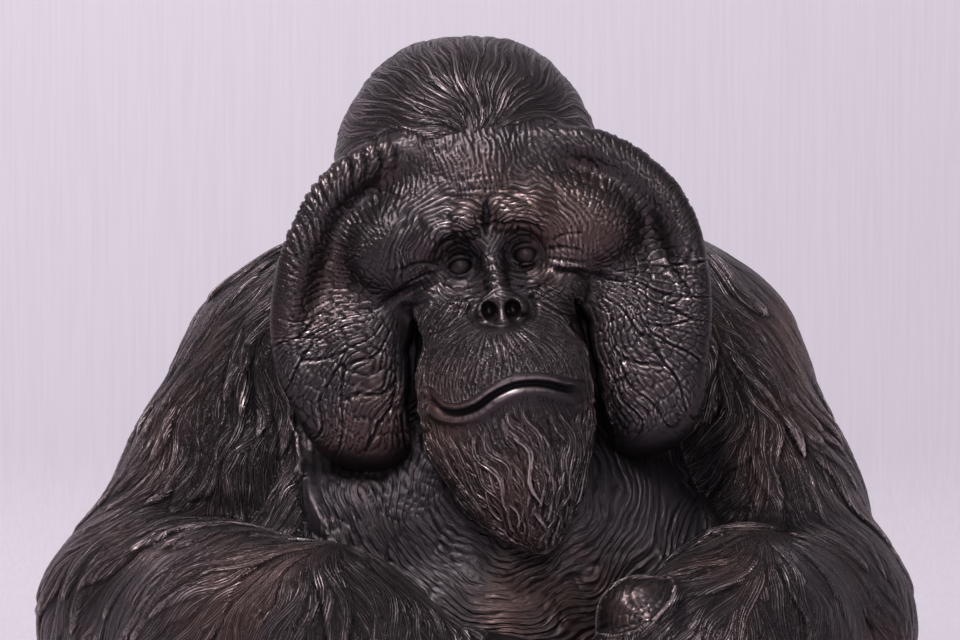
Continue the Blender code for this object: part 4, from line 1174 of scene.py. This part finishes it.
def sculpt(name, form, piece, dress):
    verts, quads = surfaceOf(form, piece["low"], piece["high"], piece["cell"])
    verts, quads = splitFaces(verts, quads)
    verts, _ = settle(form, verts)
    normals = pointNormals(verts, quads)
    edges = edgesOf(quads)
    report(f"{name} form, {len(verts)} points")
    relief, strand, hair, crest, paintedShadeAndLight = dress(verts, normals)
    raised = verts + normals * relief[:, None]
    after = pointNormals(raised, quads)
    # how far each point stands out from its surroundings, near and wide
    near = relief - blurred(relief, edges, 3)
    wide = relief - blurred(relief, edges, 14)
    shape = np.zeros(len(verts), np.float32)
    for axis in range(3):
        shape += (raised[:, axis] - blurred(raised[:, axis], edges, 5)) * after[:, axis]
    # painted shade lowers the wide measure, and painted highlights raise it
    wide -= 0.9 * paintedShadeAndLight
    report(f"{name} dressed")
    fields = {"strand": strand, "hair": hair, "crest": crest,
              "near": near, "wide": wide, "shape": shape, "paintedShadeAndLight": np.clip(paintedShadeAndLight, 0, 1)}
    return raised, quads, fields


verts, quads, fields = sculpt("head", headForm, head, dressHead)
headParts = (headToWorld(verts), quads, fields)
verts, quads, fields = sculpt("body", bodyForm, body, dressBody)
verts[:, 2] = np.maximum(verts[:, 2], 0.2)
bodyParts = (verts, quads, fields)


# The bronze: dark metal with brushed copper tones on what stands out

bronzeLook = {
    "base": (0.042, 0.033, 0.036), "worn": (0.47, 0.375, 0.385), "warm": (0.078, 0.047, 0.043),
    "deep": (0.007, 0.006, 0.009), "rough": 0.30, "metal": 0.88,
    # the scale and the detail of each noise, and the height of the fine marks in metres
    "uneven": (1.6, 2), "grain": (900, 3), "pores": (260, 4), "patch": (22, 4), "tint": (14, 3),
    "fineHeight": 0.0008,
    # how much each measure of standing out counts
    "near": 0.55, "wide": 0.30, "shape": 0.35, "hairs": 0.30, "patches": 0.35,
}


def node(tree, kind, **values):
    made = tree.nodes.new(kind)
    for key, value in values.items():
        setattr(made, key, value)
    return made


def feed(tree, socket, value):
    # a colour, a number or another node's output
    if isinstance(value, tuple):
        socket.default_value = (*value, 1)
    elif isinstance(value, (int, float)):
        socket.default_value = value
    else:
        tree.links.new(value, socket)


def calc(tree, operation, *values, clamp=False):
    made = node(tree, "ShaderNodeMath", operation=operation, use_clamp=clamp)
    for socket, value in zip(made.inputs, values):
        feed(tree, socket, value)
    return made.outputs[0]


def plus(tree, a, b):
    return calc(tree, "ADD", a, b)


def times(tree, a, b):
    return calc(tree, "MULTIPLY", a, b)


def noiseOf(tree, where, scale, detail):
    made = node(tree, "ShaderNodeTexNoise")
    made.inputs["Scale"].default_value = scale
    made.inputs["Detail"].default_value = detail
    tree.links.new(where, made.inputs["Vector"])
    return made.outputs[0]


def addBump(tree, shader, height, distance):
    bump = node(tree, "ShaderNodeBump")
    bump.inputs["Distance"].default_value = distance
    tree.links.new(height, bump.inputs["Height"])
    tree.links.new(bump.outputs[0], shader.inputs["Normal"])
    return bump


def mixShaders(tree, share, first, second, output):
    either = node(tree, "ShaderNodeMixShader")
    for socket, value in zip(either.inputs, (share, first, second)):
        tree.links.new(value, socket)
    tree.links.new(either.outputs[0], tree.nodes[output].inputs["Surface"])


def spread(tree, value, low, high):
    made = node(tree, "ShaderNodeMapRange", clamp=True, interpolation_type="SMOOTHSTEP")
    tree.links.new(value, made.inputs["Value"])
    made.inputs["From Min"].default_value, made.inputs["From Max"].default_value = low, high
    return made.outputs[0]


def mixed(tree, share, a, b):
    made = node(tree, "ShaderNodeMix", data_type="RGBA")
    for socket, value in (("Factor", share), ("A", a), ("B", b)):
        feed(tree, made.inputs[socket], value)
    return made.outputs["Result"]


def field(tree, name, output="Fac"):
    return node(tree, "ShaderNodeAttribute", attribute_name=name, attribute_type="GEOMETRY").outputs[output]


def ownPlace(tree):
    return node(tree, "ShaderNodeTexCoord").outputs["Object"]


def newMaterial(name):
    material = bpy.data.materials.new(name)
    material.use_nodes = True
    return material, material.node_tree, material.node_tree.nodes["Principled BSDF"]


def makeBronze():
    material, tree, shader = newMaterial("agedBronze")
    look = bronzeLook
    strand = field(tree, "strand", "Vector")
    hair, crest, near, wide, shape = (field(tree, name) for name in ("hair", "crest", "near", "wide", "shape"))
    place = ownPlace(tree)
    parts = node(tree, "ShaderNodeSeparateXYZ")
    tree.links.new(strand, parts.inputs[0])
    # single hairs: waves across each lock, uneven along it
    lay = node(tree, "ShaderNodeCombineXYZ")
    for axis, stretch in enumerate((0.9, 0.45, 7.0)):
        tree.links.new(times(tree, parts.outputs[axis], stretch), lay.inputs[axis])
    bend = times(tree, noiseOf(tree, lay.outputs[0], *look["uneven"]), 7.0)
    wave = calc(tree, "SINE", plus(tree, times(tree, parts.outputs[0], 6.283), bend))
    hairs = plus(tree, times(tree, wave, 0.5), 0.5)
    hairs = times(tree, hairs, times(tree, hair, spread(tree, crest, 0.05, 0.5)))
    grain = noiseOf(tree, place, *look["grain"])
    pores = noiseOf(tree, place, *look["pores"])
    bare = calc(tree, "SUBTRACT", 1.0, hair, clamp=True)
    skin = times(tree, bare, plus(tree, times(tree, pores, 0.6), times(tree, grain, 0.3)))
    height = plus(tree, times(tree, hairs, 1.0), times(tree, skin, 0.22))
    addBump(tree, shader, height, look["fineHeight"])
    # what stands out is brushed bright, what lies low stays dark
    high = plus(tree, times(tree, near, look["near"]),
                plus(tree, times(tree, wide, look["wide"]), times(tree, shape, look["shape"])))
    high = plus(tree, high, times(tree, calc(tree, "SUBTRACT", hairs, 0.3), look["hairs"]))
    patch = noiseOf(tree, place, *look["patch"])
    high = plus(tree, high, times(tree, calc(tree, "SUBTRACT", patch, 0.5), look["patches"]))
    worn = spread(tree, high, 0.02, 0.62)
    # painted shade: this field dims the rubbed copper and pulls the colour towards the deep tone
    paintedShadeAndLight = field(tree, "paintedShadeAndLight")
    worn = times(tree, worn, calc(tree, "SUBTRACT", 1.0, times(tree, paintedShadeAndLight, 0.5)))
    deep = spread(tree, times(tree, high, -1.0), 0.0, 0.55)
    deep = calc(tree, "MAXIMUM", deep, times(tree, paintedShadeAndLight, 0.75))
    tint = spread(tree, noiseOf(tree, place, *look["tint"]), 0.49, 0.70)
    ground = mixed(tree, tint, look["base"], look["warm"])
    colour = mixed(tree, times(tree, worn, 0.9), ground, look["worn"])
    colour = mixed(tree, deep, colour, look["deep"])
    tree.links.new(colour, shader.inputs["Base Color"])
    rough = plus(tree, plus(tree, look["rough"], times(tree, grain, 0.12)), times(tree, deep, 0.25))
    tree.links.new(rough, shader.inputs["Roughness"])
    shader.inputs["Metallic"].default_value = look["metal"]
    return material


bronze = makeBronze()
headPiece = makeMesh("headCasting", *headParts, bronze)
bodyPiece = makeMesh("bodyCasting", *bodyParts, bronze)


def makeEye(name, centre):
    # a plain polished ball
    def form(p):
        return ball(p, centre, eyes["radius"])

    middle = np.asarray(centre)
    margin = eyes["radius"] + 1.7
    verts, quads = surfaceOf(form, middle - margin, middle + margin, eyes["cell"])
    verts, _ = settle(form, verts)
    dim = np.full(len(verts), eyes["shade"], np.float32)
    return makeMesh(name, headToWorld(verts), quads, {"shape": dim}, bronze)


for side, centre in zip(("left", "right"), eyes["centres"]):
    eyeball = makeEye(f"{side}Eyeball", centre)
    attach(eyeball, "root")
    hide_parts(f"{side}_eye")
for piece, nodes in ((headPiece, ("face", "crown_hair", "beard", "left_cheek_flange",
                                  "right_cheek_flange")),
                     (bodyPiece, ("torso_shell", "left_arm", "right_arm", "left_hand", "right_hand"))):
    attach(piece, "root")
    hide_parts(*nodes)
report("bronze pieces made")


# The plate, its felt, the rods, pins and screws keep their shape and get a finish

plainFinishes = {
    "plate": {"nodes": ["base_plate"], "colour": (0.032, 0.030, 0.030), "other": (0.055, 0.050, 0.048),
              "rough": 0.5, "metal": 0.6, "grain": 160, "depth": 0.00012},
    "felt": {"nodes": ["felt_sheet"], "colour": (0.012, 0.012, 0.013), "other": (0.028, 0.027, 0.028),
             "rough": 0.95, "metal": 0.0, "grain": 1400, "depth": 0.00025},
    "steel": {"nodes": ["neck_rod", "beard_pin", "crown_pin_1", "crown_pin_2",
                        *[f"{side}_{name}" for side in ("left", "right")
                          for name in ("arm_rod", "flange_pin", "wrist_pin")],
                        *[f"plate_screw_{number}" for number in range(1, 5)]],
              "colour": (0.46, 0.46, 0.47), "other": (0.34, 0.33, 0.33), "rough": 0.32, "metal": 1.0,
              "grain": 700, "depth": 0.00004},
}


def grainGroup():
    # fine noise in the object's own place: a share for the colour and a height for the bump
    group = bpy.data.node_groups.new("fineGrain", "ShaderNodeTree")
    group.interface.new_socket("Fineness", in_out="INPUT", socket_type="NodeSocketFloat")
    group.interface.new_socket("Share", in_out="OUTPUT", socket_type="NodeSocketFloat")
    group.interface.new_socket("Height", in_out="OUTPUT", socket_type="NodeSocketFloat")
    given, made = node(group, "NodeGroupInput"), node(group, "NodeGroupOutput")
    place = ownPlace(group)
    broad, fine = node(group, "ShaderNodeTexNoise"), node(group, "ShaderNodeTexNoise")
    group.links.new(times(group, given.outputs[0], 0.2), broad.inputs["Scale"])
    group.links.new(given.outputs[0], fine.inputs["Scale"])
    for noise in (broad, fine):
        noise.inputs["Detail"].default_value = 3
        group.links.new(place, noise.inputs["Vector"])
    group.links.new(spread(group, broad.outputs[0], 0.35, 0.7), made.inputs["Share"])
    group.links.new(fine.outputs[0], made.inputs["Height"])
    return group


fineGrain = grainGroup()
for name, look in plainFinishes.items():
    material, tree, shader = newMaterial(name + "Finish")
    grain = node(tree, "ShaderNodeGroup", node_tree=fineGrain)
    grain.inputs["Fineness"].default_value = look["grain"]
    colour = mixed(tree, grain.outputs["Share"], look["colour"], look["other"])
    tree.links.new(colour, shader.inputs["Base Color"])
    rough = plus(tree, look["rough"] - 0.05, times(tree, grain.outputs["Height"], 0.1))
    tree.links.new(rough, shader.inputs["Roughness"])
    shader.inputs["Metallic"].default_value = look["metal"]
    addBump(tree, shader, grain.outputs["Height"], look["depth"])
    for piece in look["nodes"]:
        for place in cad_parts[piece].material_slots:
            place.material = material


# Floor, wall, lamps and camera

studio = {
    "wall": 0.62, "halfWidth": 5.0, "height": 3.0, "bend": 0.12,
    "wallColour": (0.572, 0.527, 0.583), "threads": (560, 560, 14),
    "roomLight": (0.80, 0.80, 0.86), "roomStrength": 0.40, "roomColour": (0.70, 0.66, 0.72),
    "lens": 300.0, "sensor": 36, "farthest": 20,
    "aim": (2.96, -55.0, 189.2),
}
lamps = {
    "keyLamp": {"place": (-0.45, -0.66, 1.46), "aim": (0, 0, 0.18), "size": (0.6, 0.5), "power": 29,
                "colour": (1, 0.98, 0.98)},
    "fillLamp": {"place": (1.3, -1.1, 0.7), "aim": (0, 0, 0.15), "size": (0.7, 0.9), "power": 2.5,
                 "colour": (0.95, 0.96, 1)},
    "frontLamp": {"place": (0.15, -1.9, 0.80), "aim": (0, 0, 0.18), "size": (0.5, 0.5), "power": 10,
                  "colour": (1, 0.98, 0.98)},
}


def makeSweep():
    # floor and wall in one sheet, with a bend between them
    mesh = bpy.data.meshes.new("studioSweep")
    wall, bend, reach = studio["wall"], studio["bend"], studio["halfWidth"]
    profile = [(-reach, 0.0)]
    for step in range(13):
        turn = math.radians(90 * step / 12)
        profile.append((wall - bend + bend * math.sin(turn), bend - bend * math.cos(turn)))
    profile.append((wall, studio["height"]))
    points = [(x, y, z) for x in (-reach, reach) for y, z in profile]
    n = len(profile)
    mesh.from_pydata(points, [], [(i + n, i + n + 1, i + 1, i) for i in range(n - 1)])
    mesh.shade_smooth()
    return addToScene("studioSweep", mesh)


sweep = makeSweep()
wallPaper, tree, shader = newMaterial("paleWall")
shader.inputs["Roughness"].default_value = 0.9
shader.inputs["Specular IOR Level"].default_value = 0.1
thread = node(tree, "ShaderNodeMapping")
thread.inputs["Scale"].default_value = studio["threads"]
tree.links.new(ownPlace(tree), thread.inputs[0])
weave = spread(tree, noiseOf(tree, thread.outputs[0], 1, 3), 0.25, 0.75)
darker, lighter = (tuple(c * share for c in studio["wallColour"]) for share in (0.972, 1.022))
tree.links.new(mixed(tree, weave, darker, lighter), shader.inputs["Base Color"])
# nobody sees the back of the wall, so that it hides nothing from behind
backs = node(tree, "ShaderNodeNewGeometry")
clear = node(tree, "ShaderNodeBsdfTransparent")
mixShaders(tree, backs.outputs["Backfacing"], shader.outputs[0], clear.outputs[0], "Material Output")
sweep.data.materials.append(wallPaper)

for name, given in lamps.items():
    lamp = bpy.data.lights.new(name, "AREA")
    lamp.shape = "RECTANGLE"
    lamp.size, lamp.size_y = given["size"]
    lamp.energy, lamp.color = given["power"], given["colour"]
    made = addToScene(name, lamp)
    made.location = given["place"]
    made.rotation_euler = (Vector(given["aim"]) - Vector(given["place"])).to_track_quat("-Z", "Y").to_euler()

# the room lights softly, and whoever looks past the wall sees its pale colour
world = bpy.data.worlds.new("softRoom")
bpy.context.scene.world = world
world.use_nodes = True
tree = world.node_tree
room = tree.nodes["Background"]
room.inputs["Color"].default_value = (*studio["roomLight"], 1)
room.inputs["Strength"].default_value = studio["roomStrength"]
backdrop = node(tree, "ShaderNodeBackground")
backdrop.inputs["Color"].default_value = (*studio["roomColour"], 1)
rays = node(tree, "ShaderNodeLightPath")
mixShaders(tree, rays.outputs["Is Camera Ray"], room.outputs[0], backdrop.outputs[0], "World Output")

lens = bpy.data.cameras.new("photoCamera")
lens.sensor_width = studio["sensor"]
lens.lens = studio["lens"]
lens.clip_end = studio["farthest"]
camera = addToScene("photoCamera", lens)
away = frontView["width"] * frontView["pixel"] * studio["lens"] / studio["sensor"] * 0.001
camera.location = Vector(studio["aim"]) * 0.001 - Vector((0, away, 0))
camera.rotation_euler = (math.pi / 2, 0, 0)
bpy.context.scene.camera = camera
bpy.context.scene.view_settings.view_transform = "Standard"

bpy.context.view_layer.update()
report("scene ready")
